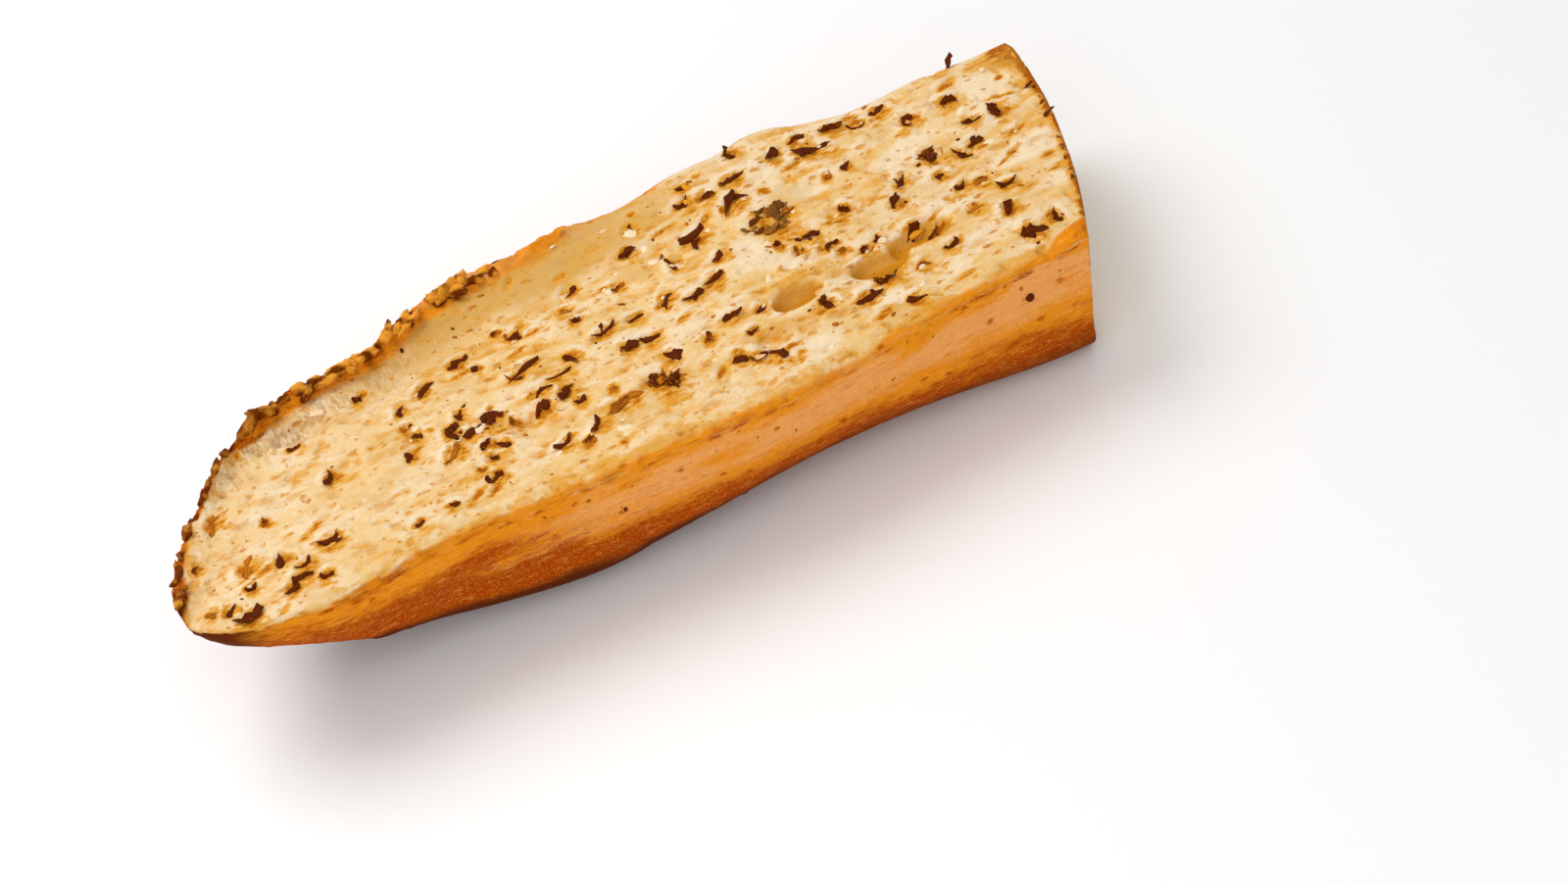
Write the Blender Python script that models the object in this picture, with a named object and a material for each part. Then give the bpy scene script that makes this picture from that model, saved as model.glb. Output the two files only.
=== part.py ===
"""Half of a long bread roll, split flat, spread with garlic butter and herbs, and toasted cut side up.

The bread is one solid: a block of quads is rounded into a half loaf with a rounded heel at -X and a
slanting crosswise cut at +X, and the herb flakes and crags that show on its cut face are fused to it.
Metres, +Z up. The origin is the centre of the object's box, on the surface that it stands on.
"""

import math
import random

import bmesh
import bpy
from mathutils import Matrix, Vector, noise

MM = 0.001

# The loaf, seen from above.
HEEL_LENGTH = 96 * MM  # from the widest station to the tip of the rounded heel
STATION_X = -15 * MM  # where the widest station lies
CUT_X = 101.5 * MM  # where the crosswise cut meets the middle line
CUT_SKEW = 0.26  # how far the cut leads at the far side, for each metre across
CUT_BOW = 4 * MM  # how far the middle of the cut stands out
CUT_LEAN = 0.07  # how far the cut runs back, for each metre down
HALF_WIDTH = 35.3 * MM
HEEL_BEND = 20 * MM  # how far the tip of the heel leans to the near side

# The loaf, seen from the cut end.
DEPTH = 37.5 * MM  # from the cut face to the crown of the base
BASE_CLIP = 1.5 * MM  # how much of that crown the baking tray pressed flat
HEEL_RISE = 0.06  # how soon the base lifts towards the tip
ROUNDNESS = 0.23  # of the corner between side and base: 0 is square and 0.5 is an ellipse
MIDDLE_ROUNDNESS = 0.16  # added about this place on the block, with this reach
MIDDLE = (0.32, 0.33)
CUT_ROUNDNESS = -0.07  # added at the cut end
HEEL_ROUNDNESS = 0.11  # added at the tip of the heel

# Lumps of the outline: centre along X, reach along X, size. Positive is outwards.
NEAR_LUMPS = ((12 * MM, 32 * MM, 3.3 * MM),)
FAR_LUMPS = (
    (-50 * MM, 14 * MM, -6.0 * MM),
    (8 * MM, 14 * MM, 2.6 * MM),
    (29 * MM, 10 * MM, 3.2 * MM),
    (50 * MM, 15 * MM, 6.2 * MM),
    (86 * MM, 12 * MM, 1.6 * MM),
)
FAR_TAPER = (50 * MM, 75 * MM, -2.6 * MM)  # start, end, size
HEEL_SWELL = (0.45, 0.75, 3.2 * MM)  # the same, in shares of the heel's length

# The cut face.
RIM_HEIGHT = 2.6 * MM  # the toasted crust that stands up along the far side of the heel
RIM_START = (-2 * MM, 10 * MM)  # it fades out between these two places on X
HOLLOW_DEPTH = 1.6 * MM  # the crumb sags beside that rim
ROLL_DEPTH = 1.2 * MM  # the far edge rolls over ahead of the rim
NEAR_ROLL_DEPTH = 0.8 * MM
SWELL_HEIGHT = 1.2 * MM  # long soft waves of the crumb
TEAR_HEIGHT = 0.7 * MM  # shorter ones, drawn out along the knife's way
CRUST_LUMP = 0.9 * MM
CREASE_DEPTH = 0.9 * MM  # a long fold in the near crust
CREASE_LEVEL = (0.5, 0.13)  # how far down the side it runs, and its reach
CREASE_SPAN = (-44 * MM, 30 * MM)  # its centre and its reach on X
# Open air pockets: centre on X and Y, half length, half width, depth.
POCKETS = (
    (34 * MM, -13.5 * MM, 6.0 * MM, 3.6 * MM, 3.2 * MM),
    (53 * MM, -15.0 * MM, 7.0 * MM, 4.0 * MM, 3.0 * MM),
    (64 * MM, -12.0 * MM, 8.0 * MM, 3.4 * MM, 2.6 * MM),
    (-70 * MM, 15.0 * MM, 7.0 * MM, 3.5 * MM, 1.8 * MM),
    (24 * MM, -23.0 * MM, 4.5 * MM, 3.0 * MM, 1.6 * MM),
    (-27 * MM, -14.0 * MM, 6.0 * MM, 3.2 * MM, 1.3 * MM),
)

# The block that the loaf is rounded from: how finely it is cut, and where its relief applies.
CELLS_LONG = 56
CELLS_WIDE = 22
CELLS_DEEP = 6
ON_SIDE = 0.999  # beyond this place a point is on the block's side
RELIEF_FADE = 0.3  # the cut face's relief is gone this far down the side
LUMP_FADE = (0.75, 1.0)  # the sides' lumps fade out down here
TINY = 1e-6
PLACE_ROUNDS = 30  # steps taken to find a place on the block

# Herbs.
HERB_SEED = 21
HERB_COUNT = 32  # besides the main flakes
HERB_SIDES = 6
HERB_TURN = math.radians(26)  # spread of their direction about the loaf's length
HERB_LENGTH = (1.8 * MM, 3.2 * MM)
HERB_WIDTH = (1.1 * MM, 1.8 * MM)
HERB_PROUD = 1.2 * MM  # how far a flake stands above the crumb
HERB_ROOT = 1.6 * MM  # how far it reaches into the crumb
HERB_SLANT = 0.5 * MM  # the most that one long edge stands above the other
HERB_GAP = 1.5 * MM  # the least from a flake's centre to the others
HERB_THIN = 0.34  # how readily a flake lies away from the clumps
# Where flakes gather, or below 0 are few: centre on X and Y, reach, weight.
HERB_CLUMPS = (
    (40 * MM, 10 * MM, 9 * MM, 0.72),
    (45 * MM, 1 * MM, 8 * MM, 0.54),
    (21 * MM, -22 * MM, 7 * MM, 0.68),
    (-1 * MM, -18 * MM, 8 * MM, 0.58),
    (-42 * MM, -11 * MM, 8 * MM, 0.58),
    (-20 * MM, -8 * MM, 7 * MM, 0.45),
    (60 * MM, 24 * MM, 9 * MM, 0.54),
    (70 * MM, -14 * MM, 8 * MM, 0.40),
    (-80 * MM, -4 * MM, 24 * MM, -0.27),
)
# The main flakes, in millimetres and degrees: place on X and Y, length, width, turn.
MAIN_FLAKES = (
    (-105, -24, 2.5, 1.8, -60),
    (-102, -26, 3.5, 1.5, 35),
    (-99, -30, 6.5, 3.0, -8),
    (-96, 0, 7.0, 1.5, 35),
    (-95, -16, 6.5, 2.0, 45),
    (-89, -28, 3.5, 1.5, 10),
    (-88, -19, 4.0, 2.0, 45),
    (-86, -26, 5.0, 1.6, -5),
    (-84, -23, 4.5, 1.6, 15),
    (-77, -19, 5.0, 2.8, 0),
    (-70, -2, 4.0, 1.6, 50),
    (-50, -2, 2.6, 1.6, -40),
    (-46, -12, 6.0, 1.8, 40),
    (-44, 10, 6.0, 1.6, 32),
    (-44, -6, 5.0, 2.4, 65),
    (-41, -23, 4.0, 1.8, 42),
    (-40, -9, 4.5, 1.2, 0),
    (-39, -14, 3.5, 1.5, 15),
    (-36, -15, 3.5, 2.0, -40),
    (-35, -8, 5.0, 3.4, -10),
    (-34, 14, 5.5, 2.2, 10),
    (-25, -11, 4.0, 2.4, 8),
    (-25, -23, 5.0, 1.6, 28),
    (-24, 2, 9.0, 1.5, 20),
    (-23, -6, 4.5, 1.4, 12),
    (-21, 14, 3.2, 2.6, -20),
    (-21, -26, 2.6, 2.0, -45),
    (-19, -10, 5.0, 2.2, 48),
    (-18, -5, 6.0, 1.2, 0),
    (-17, -23, 5.5, 1.6, 52),
    (-13, -1, 4.0, 2.0, -50),
    (-10, -20, 8.5, 2.2, 8),
    (-8, 14, 3.0, 2.0, -30),
    (-5, 20, 4.5, 1.8, 40),
    (-4, 2, 6.5, 1.2, 18),
    (-2, -6, 4.5, 2.2, -5),
    (0, -20, 9.0, 5.0, -15),
    (3, -6, 4.5, 2.0, -5),
    (3, 2, 4.0, 1.6, 2),
    (4, -14, 4.0, 2.6, -35),
    (4, 14, 3.2, 1.4, 18),
    (10, 3, 5.0, 1.6, 52),
    (10, 22, 4.5, 2.8, 27),
    (14, 28, 3.2, 2.0, 38),
    (15, -23, 3.2, 2.2, 10),
    (16, 0, 5.5, 1.4, 8),
    (17, 12, 4.0, 1.3, 85),
    (19, -25, 4.5, 2.0, -15),
    (20, -11, 5.0, 1.6, 0),
    (22, 2, 5.0, 1.8, 0),
    (23, -27, 4.5, 2.2, -70),
    (25, 17, 8.0, 1.8, 20),
    (26, 7, 3.6, 1.6, 40),
    (27, 28, 4.0, 1.6, 12),
    (32, 27, 4.5, 1.8, 5),
    (36, 21, 8.0, 2.0, 47),
    (38, -20, 3.6, 2.0, -60),
    (39, 28, 6.5, 1.4, 2),
    (40, 11, 9.0, 8.0, 10),
    (43, 36, 4.0, 2.0, 75),
    (45, 2, 4.0, 2.0, -8),
    (46, -3, 4.0, 1.6, 45),
    (46, -23, 6.5, 1.8, 12),
    (50, 29, 3.6, 2.0, 0),
    (53, -20, 7.0, 2.2, 14),
    (54, -30, 4.5, 2.4, -5),
    (55, 5, 2.6, 2.0, -20),
    (57, 31, 4.5, 2.6, 28),
    (58, 26, 8.5, 2.2, -5),
    (60, -21, 3.5, 1.4, 8),
    (62, 17, 3.2, 1.3, 32),
    (64, -9, 4.0, 1.6, 25),
    (65, 0, 3.0, 2.0, 15),
    (65, 30, 5.0, 2.0, 3),
    (68, -11, 5.0, 1.4, 20),
    (68, -20, 4.0, 1.4, 8),
    (69, 5, 4.5, 1.3, 48),
    (70, 28, 4.0, 1.6, 5),
    (76, 29, 4.0, 2.6, 2),
    (77, -13, 3.2, 1.8, 30),
    (78, 8, 4.5, 4.0, 40),
    (79, -4, 3.4, 1.4, 22),
    (80, 22, 3.2, 2.8, 30),
    (83, -5, 3.4, 1.8, 10),
    (83, -18, 4.0, 1.8, 50),
    (84, -27, 6.0, 2.8, -12),
    (84, 5, 5.0, 1.8, -65),
    (87, -10, 4.5, 1.4, -18),
    (88, 6, 4.0, 2.0, 8),
    (90, -26, 4.0, 1.6, -85),
    (90, 22, 3.6, 2.0, -5),
    (91, 13, 4.5, 1.6, -8),
    (97, 12, 4.0, 2.6, 60),
)
# Flakes that stand up at the edge: place on the block along and across, then turn.
EDGE_FLAKES = ((0.885, 0.955, 0.9), (0.455, 0.93, 0.5), (0.98, 0.45, -0.8), (0.985, 0.12, -0.4))
EDGE_FLAKE_SIZE = (4.0 * MM, 2.0 * MM)
EDGE_FLAKE_PROUD = 2.2 * MM

# Crags of broken crust along the rim.
CRAG_SEED = 5
CRAG_COUNT = 16
CRAG_REACH = (-0.94, -0.04)  # along the block
CRAG_LENGTH = (3.0 * MM, 7.0 * MM)
CRAG_WIDTH = (2.0 * MM, 3.4 * MM)
CRAG_PROUD = (0.9 * MM, 2.2 * MM)

SEED_SPOT = (0.86, -1.0, 0.22)  # the burnt seed baked onto the near crust, on the block
SEED_RADIUS = 1.0 * MM

CRUST_COLOUR = (0.62, 0.27, 0.07, 1.0)


def mix(a, b, share):
    return a + (b - a) * share


def hump(x, centre, reach):
    """1 at the centre, falling off smoothly with distance."""
    return math.exp(-(((x - centre) / reach) ** 2))


def step(x, start, end):
    """0 before start, 1 after end, smooth between."""
    t = min(1.0, max(0.0, (x - start) / (end - start)))
    return t * t * (3 - 2 * t)


def outline_lump(x, side, back):
    """How far the outline stands out at x, on the far side (side above 0) or the near one."""
    lumps = FAR_LUMPS if side > 0 else NEAR_LUMPS
    start, end, size = FAR_TAPER if side > 0 else HEEL_SWELL
    ramp = size * step(x if side > 0 else back, start, end)
    return ramp + sum(size * hump(x, centre, reach) for centre, reach, size in lumps)


def loaf_point(u, v, w):
    """The smooth half loaf. u runs from the heel (-1) to the cut end (1), v from the near side (-1)
    to the far side (1), and w from the cut face (0) down to the base (1)."""
    heel = max(0.0, -u)
    along = math.sqrt(1 - v * v / 2 - w * w / 2 + v * v * w * w / 3)
    across = math.sqrt(1 - heel * heel / 2 / (1 - w * w / 2) * (1 - w * w * 2 / 3))
    down = math.sqrt(1 - heel * heel / 2 / (1 - v * v / 2) * (1 - v * v * 2 / 3))
    back = heel * along

    roundness = ROUNDNESS + MIDDLE_ROUNDNESS * hump(u, *MIDDLE)
    roundness += CUT_ROUNDNESS * step(u, 0.6, 1.0) + HEEL_ROUNDNESS * heel * heel
    power = 1 / roundness
    outer = max(abs(v), w)
    rounded = outer / (abs(v) ** power + w**power) ** roundness if outer > 0 else 1.0

    y = HALF_WIDTH * v * rounded * across
    depth = DEPTH * w * rounded * down * max(0.0, 1 - back * back) ** HEEL_RISE
    if u < 0:
        x = STATION_X - HEEL_LENGTH * back
    else:
        cut = CUT_X + CUT_SKEW * y + CUT_BOW * (1 - (y / HALF_WIDTH) ** 2) - CUT_LEAN * depth
        x = mix(STATION_X, cut, u)
    y += v * outline_lump(x, v, back) - HEEL_BEND * back**3
    return Vector((x, y, max(DEPTH - depth, BASE_CLIP) - BASE_CLIP))


def wave(x, y, long, wide, layer):
    """Smooth noise from -1 to 1, drawn out to the lengths given."""
    return noise.noise(Vector((x / long, y / wide, layer)))


def face_relief(x, y, u, v):
    """Height of the cut face above its plane."""
    height = SWELL_HEIGHT * wave(x, y, 34 * MM, 19 * MM, 1.3)
    height += TEAR_HEIGHT * wave(x, y, 11 * MM, 5 * MM, 7.7)
    on_heel = 1 - step(x, *RIM_START)
    crag = 0.75 + 0.55 * wave(x, y, 5 * MM, 5 * MM, 3.1)
    height += RIM_HEIGHT * crag * step(max(v, -u + min(v, 0.0)), 0.86, 0.97) * on_heel
    height -= HOLLOW_DEPTH * hump(v, 0.66, 0.2) * on_heel
    height -= ROLL_DEPTH * step(v, 0.84, 1.0) * (1 - on_heel)
    height -= NEAR_ROLL_DEPTH * step(-v, 0.88, 1.0)
    for px, py, half_long, half_wide, depth in POCKETS:
        reach = math.hypot((x - px) / half_long, (y - py) / half_wide)
        height -= depth * (1 - step(reach, 0.55, 1.15))
    return height


def bread_point(u, v, w):
    """The half loaf with its lumps and the relief of its cut face."""
    point = loaf_point(u, v, w)
    lump = CRUST_LUMP * wave(point.x + point.z, point.y - point.z, 17 * MM, 13 * MM, 5.2)
    lump *= 1 - step(w, *LUMP_FADE)
    if abs(v) > ON_SIDE:
        point.y += math.copysign(lump, v)
    if v < -ON_SIDE:
        point.y += CREASE_DEPTH * hump(w, *CREASE_LEVEL) * hump(point.x, *CREASE_SPAN)
    if u > ON_SIDE:
        point.x += lump * w
    point.z += face_relief(point.x, point.y, u, v) * (1 - step(w, 0.0, RELIEF_FADE))
    return point


def make_block():
    """A closed block of quads from -1 to 1 each way, as fine as the loaf needs."""
    bm = bmesh.new()
    bmesh.ops.create_cube(bm, size=2)
    for axis, cells in enumerate((CELLS_LONG, CELLS_WIDE, CELLS_DEEP)):
        edges = [e for e in bm.edges if abs((e.verts[0].co - e.verts[1].co)[axis]) > TINY]
        bmesh.ops.subdivide_edges(bm, edges=edges, cuts=cells - 1, use_grid_fill=True)
    return bm


def make_bread(material):
    bm = make_block()
    for vert in bm.verts:
        u, v, up = vert.co
        vert.co = bread_point(u, v, (1 - up) / 2)
    base = [f for f in bm.faces if max(vert.co.z for vert in f.verts) < TINY]
    bmesh.ops.dissolve_faces(bm, faces=base, use_verts=True)
    bmesh.ops.triangulate(bm, faces=bm.faces[:])
    bmesh.ops.recalc_face_normals(bm, faces=bm.faces[:])
    mesh = bpy.data.meshes.new("garlic_bread")
    bm.to_mesh(mesh)
    bm.free()
    mesh.materials.append(material)
    bread = bpy.data.objects.new("garlic_bread", mesh)
    bpy.context.scene.collection.objects.link(bread)
    return bread


def face_frame(u, v):
    """A place on the cut face and its tangent frame: X along the loaf, Z out of the crumb."""
    nudge = 0.01
    place = bread_point(u, v, 0)
    along = (bread_point(u + nudge, v, 0) - bread_point(u - nudge, v, 0)).normalized()
    across = bread_point(u, v + nudge, 0) - bread_point(u, v - nudge, 0)
    out = along.cross(across).normalized()
    frame = Matrix((along, out.cross(along), out)).transposed().to_4x4()
    frame.translation = place
    return frame


def herb_weight(x, y):
    """How readily a flake lies at this place: more in the clumps."""
    weight = HERB_THIN
    for cx, cy, reach, size in HERB_CLUMPS:
        weight += size * hump(math.hypot(x - cx, y - cy), 0, reach)
    return weight


def block_place(x, y):
    """The place on the block, along and across, whose point on the cut face is at x and y."""
    u = v = 0.0
    for _ in range(PLACE_ROUNDS):
        point = loaf_point(u, v, 0)
        u = min(1.0, max(-1.0, u + (x - point.x) / (CUT_X - STATION_X)))
        v = min(1.0, max(-1.0, v + (y - point.y) / HALF_WIDTH))
    return u, v


def main_places():
    """The frame, length and width of the main flakes."""
    places = []
    for x, y, length, width, turn in MAIN_FLAKES:
        frame = face_frame(*block_place(x * MM, y * MM))
        frame @= Matrix.Rotation(math.radians(turn), 4, "Z")
        places.append((frame, length * MM, width * MM))
    return places


def herb_places():
    """The main flakes, and then the small ones by a seeded draw that keeps them apart."""
    draw = random.Random(HERB_SEED)
    places = main_places()
    while len(places) < len(MAIN_FLAKES) + HERB_COUNT:
        u = draw.uniform(-0.97, 0.96)
        v = draw.uniform(-0.84, 0.9)
        chance = draw.random()
        turn = draw.gauss(0.12, HERB_TURN)
        size = draw.random() ** 2.0
        slim = draw.random()
        spot = loaf_point(u, v, 0)
        if chance > herb_weight(spot.x, spot.y):
            continue
        gaps = ((spot - frame.translation).xy.length - length / 3 for frame, length, width in places)
        if min(gaps) < HERB_GAP:
            continue
        frame = face_frame(u, v) @ Matrix.Rotation(turn, 4, "Z")
        places.append((frame, mix(*HERB_LENGTH, size), mix(*HERB_WIDTH, slim)))
    return places


def crag_places():
    """The frame, length, width and height of every crag, spread along the rim."""
    draw = random.Random(CRAG_SEED)
    places = []
    for number in range(CRAG_COUNT):
        u = mix(*CRAG_REACH, (number + draw.random()) / CRAG_COUNT)
        frame = face_frame(u, draw.uniform(0.91, 0.97)) @ Matrix.Rotation(draw.gauss(0.1, 0.3), 4, "Z")
        sizes = [mix(*span, draw.random()) for span in (CRAG_LENGTH, CRAG_WIDTH, CRAG_PROUD)]
        places.append((frame, *sizes))
    return places


def make_flake(draw, frame, length, width, proud):
    """One ragged flake: a six-sided plate, curled along its length and rooted in the crumb."""
    bm = bmesh.new()
    bmesh.ops.create_circle(bm, cap_ends=True, segments=HERB_SIDES, radius=0.5)
    for vert in bm.verts:
        vert.co *= draw.uniform(0.7, 1.15)
    plate = bm.verts[:]
    raised = bmesh.ops.extrude_face_region(bm, geom=bm.faces[:])["geom"]
    top = [item for item in raised if isinstance(item, bmesh.types.BMVert)]
    bmesh.ops.scale(bm, vec=(length, width, 1), verts=bm.verts)
    bmesh.ops.translate(bm, vec=(0, 0, -HERB_ROOT), verts=plate)
    slant = draw.uniform(-HERB_SLANT, HERB_SLANT)
    for vert in top:
        curl = draw.uniform(-0.2, 0.45) * (2 * vert.co.x / length) ** 2
        vert.co.z = proud * (1 + curl) + slant * 2 * vert.co.y / width
    bmesh.ops.transform(bm, matrix=frame, verts=bm.verts)
    bmesh.ops.recalc_face_normals(bm, faces=bm.faces[:])
    return bm


def make_seed():
    """The small round seed that is baked onto the near crust."""
    bm = bmesh.new()
    bmesh.ops.create_icosphere(bm, subdivisions=1, radius=SEED_RADIUS)
    bmesh.ops.translate(bm, vec=bread_point(*SEED_SPOT), verts=bm.verts)
    return bm


def link_topping(collection, bm, name):
    mesh = bpy.data.meshes.new(name)
    bm.to_mesh(mesh)
    bm.free()
    collection.objects.link(bpy.data.objects.new(name, mesh))


def fuse_toppings(bread):
    """Joins flakes, crags and seed to the bread with one union, and removes the loose copies."""
    toppings = bpy.data.collections.new("toppings")
    bpy.context.scene.collection.children.link(toppings)
    draw = random.Random(HERB_SEED)
    for frame, length, width in herb_places():
        link_topping(toppings, make_flake(draw, frame, length, width, HERB_PROUD), "herb_flake")
    for u, v, turn in EDGE_FLAKES:
        frame = face_frame(u, v) @ Matrix.Rotation(turn, 4, "Z")
        flake = make_flake(draw, frame, *EDGE_FLAKE_SIZE, EDGE_FLAKE_PROUD)
        link_topping(toppings, flake, "edge_flake")
    for place in crag_places():
        link_topping(toppings, make_flake(draw, *place), "crag")
    link_topping(toppings, make_seed(), "seed")

    union = bread.modifiers.new("fuse toppings", "BOOLEAN")
    union.operation = "UNION"
    union.operand_type = "COLLECTION"
    union.collection = toppings
    union.solver = "EXACT"
    graph = bpy.context.evaluated_depsgraph_get()
    fused = bpy.data.meshes.new_from_object(bread.evaluated_get(graph))
    bread.modifiers.remove(union)
    bread.data = fused
    for topping in toppings.objects[:]:
        bpy.data.objects.remove(topping)
    bpy.data.collections.remove(toppings)


def stand_on_origin(bread):
    """Moves the mesh so that its box is centred on the Z axis and its base is at Z = 0."""
    corners = [Vector(corner) for corner in bread.bound_box]
    low = Vector(map(min, zip(*corners)))
    high = Vector(map(max, zip(*corners)))
    shift = Vector((-(low.x + high.x) / 2, -(low.y + high.y) / 2, -low.z))
    bread.data.transform(Matrix.Translation(shift))


def make_crust_material():
    material = bpy.data.materials.new("toasted_bread")
    material.use_nodes = True
    shader = material.node_tree.nodes["Principled BSDF"]
    shader.inputs["Base Color"].default_value = CRUST_COLOUR
    shader.inputs["Roughness"].default_value = 0.7
    shader.inputs["Metallic"].default_value = 0.0
    return material


def main():
    for leftover in bpy.data.objects[:]:
        bpy.data.objects.remove(leftover)
    bread = make_bread(make_crust_material())
    fuse_toppings(bread)
    stand_on_origin(bread)
    bread.data.shade_smooth()
    bread.data.set_sharp_from_angle(angle=math.radians(50))


main()
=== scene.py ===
"""Half of a long bread roll, split flat, spread with garlic butter and herbs, and toasted cut side up."""

import math
import random
from functools import lru_cache

import bmesh
import bpy
import numpy as np
from mathutils import Matrix, Vector, noise
from mathutils.bvhtree import BVHTree


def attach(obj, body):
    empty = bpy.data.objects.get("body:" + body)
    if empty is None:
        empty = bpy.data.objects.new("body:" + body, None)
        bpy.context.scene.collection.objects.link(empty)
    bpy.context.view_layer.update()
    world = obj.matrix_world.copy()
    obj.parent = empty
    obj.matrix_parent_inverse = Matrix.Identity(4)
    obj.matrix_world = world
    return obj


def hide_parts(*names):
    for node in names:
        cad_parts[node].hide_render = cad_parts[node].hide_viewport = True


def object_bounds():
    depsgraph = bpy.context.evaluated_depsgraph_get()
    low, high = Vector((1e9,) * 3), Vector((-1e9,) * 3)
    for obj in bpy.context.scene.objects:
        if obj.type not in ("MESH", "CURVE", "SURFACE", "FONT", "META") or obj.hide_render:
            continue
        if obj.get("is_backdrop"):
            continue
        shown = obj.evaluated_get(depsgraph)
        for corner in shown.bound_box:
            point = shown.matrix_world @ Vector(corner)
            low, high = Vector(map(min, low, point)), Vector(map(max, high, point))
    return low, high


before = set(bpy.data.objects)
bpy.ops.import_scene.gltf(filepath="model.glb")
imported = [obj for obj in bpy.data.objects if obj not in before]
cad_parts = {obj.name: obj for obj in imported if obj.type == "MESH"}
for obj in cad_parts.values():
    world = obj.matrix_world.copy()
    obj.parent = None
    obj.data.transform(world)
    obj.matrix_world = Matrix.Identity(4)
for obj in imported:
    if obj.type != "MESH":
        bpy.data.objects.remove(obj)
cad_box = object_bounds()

bl_info = {
    "name": "Garlic Bread",
    "version": (1, 0, 0),
    "blender": (4, 5, 0),
    "location": "3D View > Sidebar > Garlic Bread",
    "description": "Builds a toasted half of garlic bread with herbs on its cut face",
    "category": "Add Mesh",
}

MM = 0.001
NODE = "garlic_bread"

# The loaf, seen from above.
HEEL_LENGTH = 96 * MM  # from the widest station to the tip of the rounded heel
STATION_X = -15 * MM  # where the widest station lies
CUT_X = 101.5 * MM  # where the crosswise cut meets the middle line
CUT_SKEW = 0.26  # how far the cut leads at the far side, for each metre across
CUT_BOW = 4 * MM  # how far the middle of the cut stands out
CUT_LEAN = 0.07  # how far the cut runs back, for each metre down
HALF_WIDTH = 35.3 * MM
HEEL_BEND = 20 * MM  # how far the tip of the heel leans to the near side

# The loaf, seen from the cut end.
DEPTH = 37.5 * MM  # from the cut face to the crown of the base
BASE_CLIP = 1.5 * MM  # how much of that crown the baking tray pressed flat
HEEL_RISE = 0.06  # how soon the base lifts towards the tip
ROUNDNESS = 0.23  # of the corner between side and base: 0 is square and 0.5 is an ellipse
MIDDLE_ROUNDNESS = 0.16  # added about this place on the block, with this reach
MIDDLE = (0.32, 0.33)
CUT_ROUNDNESS = -0.07  # added at the cut end
HEEL_ROUNDNESS = 0.11  # added at the tip of the heel

# Lumps of the outline: centre along X, reach along X, size. Positive is outwards.
NEAR_LUMPS = ((12 * MM, 32 * MM, 3.3 * MM),)
FAR_LUMPS = (
    (-50 * MM, 14 * MM, -6.0 * MM),
    (8 * MM, 14 * MM, 2.6 * MM),
    (29 * MM, 10 * MM, 3.2 * MM),
    (50 * MM, 15 * MM, 6.2 * MM),
    (86 * MM, 12 * MM, 1.6 * MM),
)
FAR_TAPER = (50 * MM, 75 * MM, -2.6 * MM)  # start, end, size
HEEL_SWELL = (0.45, 0.75, 3.2 * MM)  # the same, in shares of the heel's length

# The cut face.
RIM_HEIGHT = 2.6 * MM  # the toasted crust that stands up along the far side of the heel
RIM_START = (-2 * MM, 10 * MM)  # it fades out between these two places on X
HOLLOW_DEPTH = 1.6 * MM  # the crumb sags beside that rim
ROLL_DEPTH = 1.2 * MM  # the far edge rolls over ahead of the rim
NEAR_ROLL_DEPTH = 0.8 * MM
SWELL_HEIGHT = 1.2 * MM  # long soft waves of the crumb
TEAR_HEIGHT = 0.7 * MM  # shorter ones, drawn out along the knife's way
CRUST_LUMP = 0.9 * MM
CREASE_DEPTH = 0.9 * MM  # a long fold in the near crust
CREASE_LEVEL = (0.5, 0.13)  # how far down the side it runs, and its reach
CREASE_SPAN = (-44 * MM, 30 * MM)  # its centre and its reach on X
# Open air pockets: centre on X and Y, half length, half width, depth.
POCKETS = (
    (34 * MM, -13.5 * MM, 6.0 * MM, 3.6 * MM, 3.2 * MM),
    (53 * MM, -15.0 * MM, 7.0 * MM, 4.0 * MM, 3.0 * MM),
    (64 * MM, -12.0 * MM, 8.0 * MM, 3.4 * MM, 2.6 * MM),
    (-70 * MM, 15.0 * MM, 7.0 * MM, 3.5 * MM, 1.8 * MM),
    (24 * MM, -23.0 * MM, 4.5 * MM, 3.0 * MM, 1.6 * MM),
    (-27 * MM, -14.0 * MM, 6.0 * MM, 3.2 * MM, 1.3 * MM),
)

# The block that the loaf is rounded from, and where its relief applies.
ON_SIDE = 0.999  # beyond this place a point is on the block's side
RELIEF_FADE = 0.3  # the cut face's relief is gone this far down the side
LUMP_FADE = (0.75, 1.0)  # the sides' lumps fade out down here
EDGE_FADE = 0.12  # the crumb's fine relief is gone this far down the side
TINY = 1e-6
PLACE_ROUNDS = 30  # steps taken to find a place on the block

# Herbs.
HERB_SEED = 21
HERB_COUNT = 32  # besides the main flakes
HERB_TURN = math.radians(26)  # spread of their direction about the loaf's length
HERB_LENGTH = (1.8 * MM, 3.2 * MM)
HERB_WIDTH = (1.1 * MM, 1.8 * MM)
HERB_GAP = 1.5 * MM  # the least from a flake's centre to the others
HERB_THIN = 0.34  # how readily a flake lies away from the clumps
# Where flakes gather, or below 0 are few: centre on X and Y, reach, weight.
HERB_CLUMPS = (
    (40 * MM, 10 * MM, 9 * MM, 0.72),
    (45 * MM, 1 * MM, 8 * MM, 0.54),
    (21 * MM, -22 * MM, 7 * MM, 0.68),
    (-1 * MM, -18 * MM, 8 * MM, 0.58),
    (-42 * MM, -11 * MM, 8 * MM, 0.58),
    (-20 * MM, -8 * MM, 7 * MM, 0.45),
    (60 * MM, 24 * MM, 9 * MM, 0.54),
    (70 * MM, -14 * MM, 8 * MM, 0.40),
    (-80 * MM, -4 * MM, 24 * MM, -0.27),
)
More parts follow.
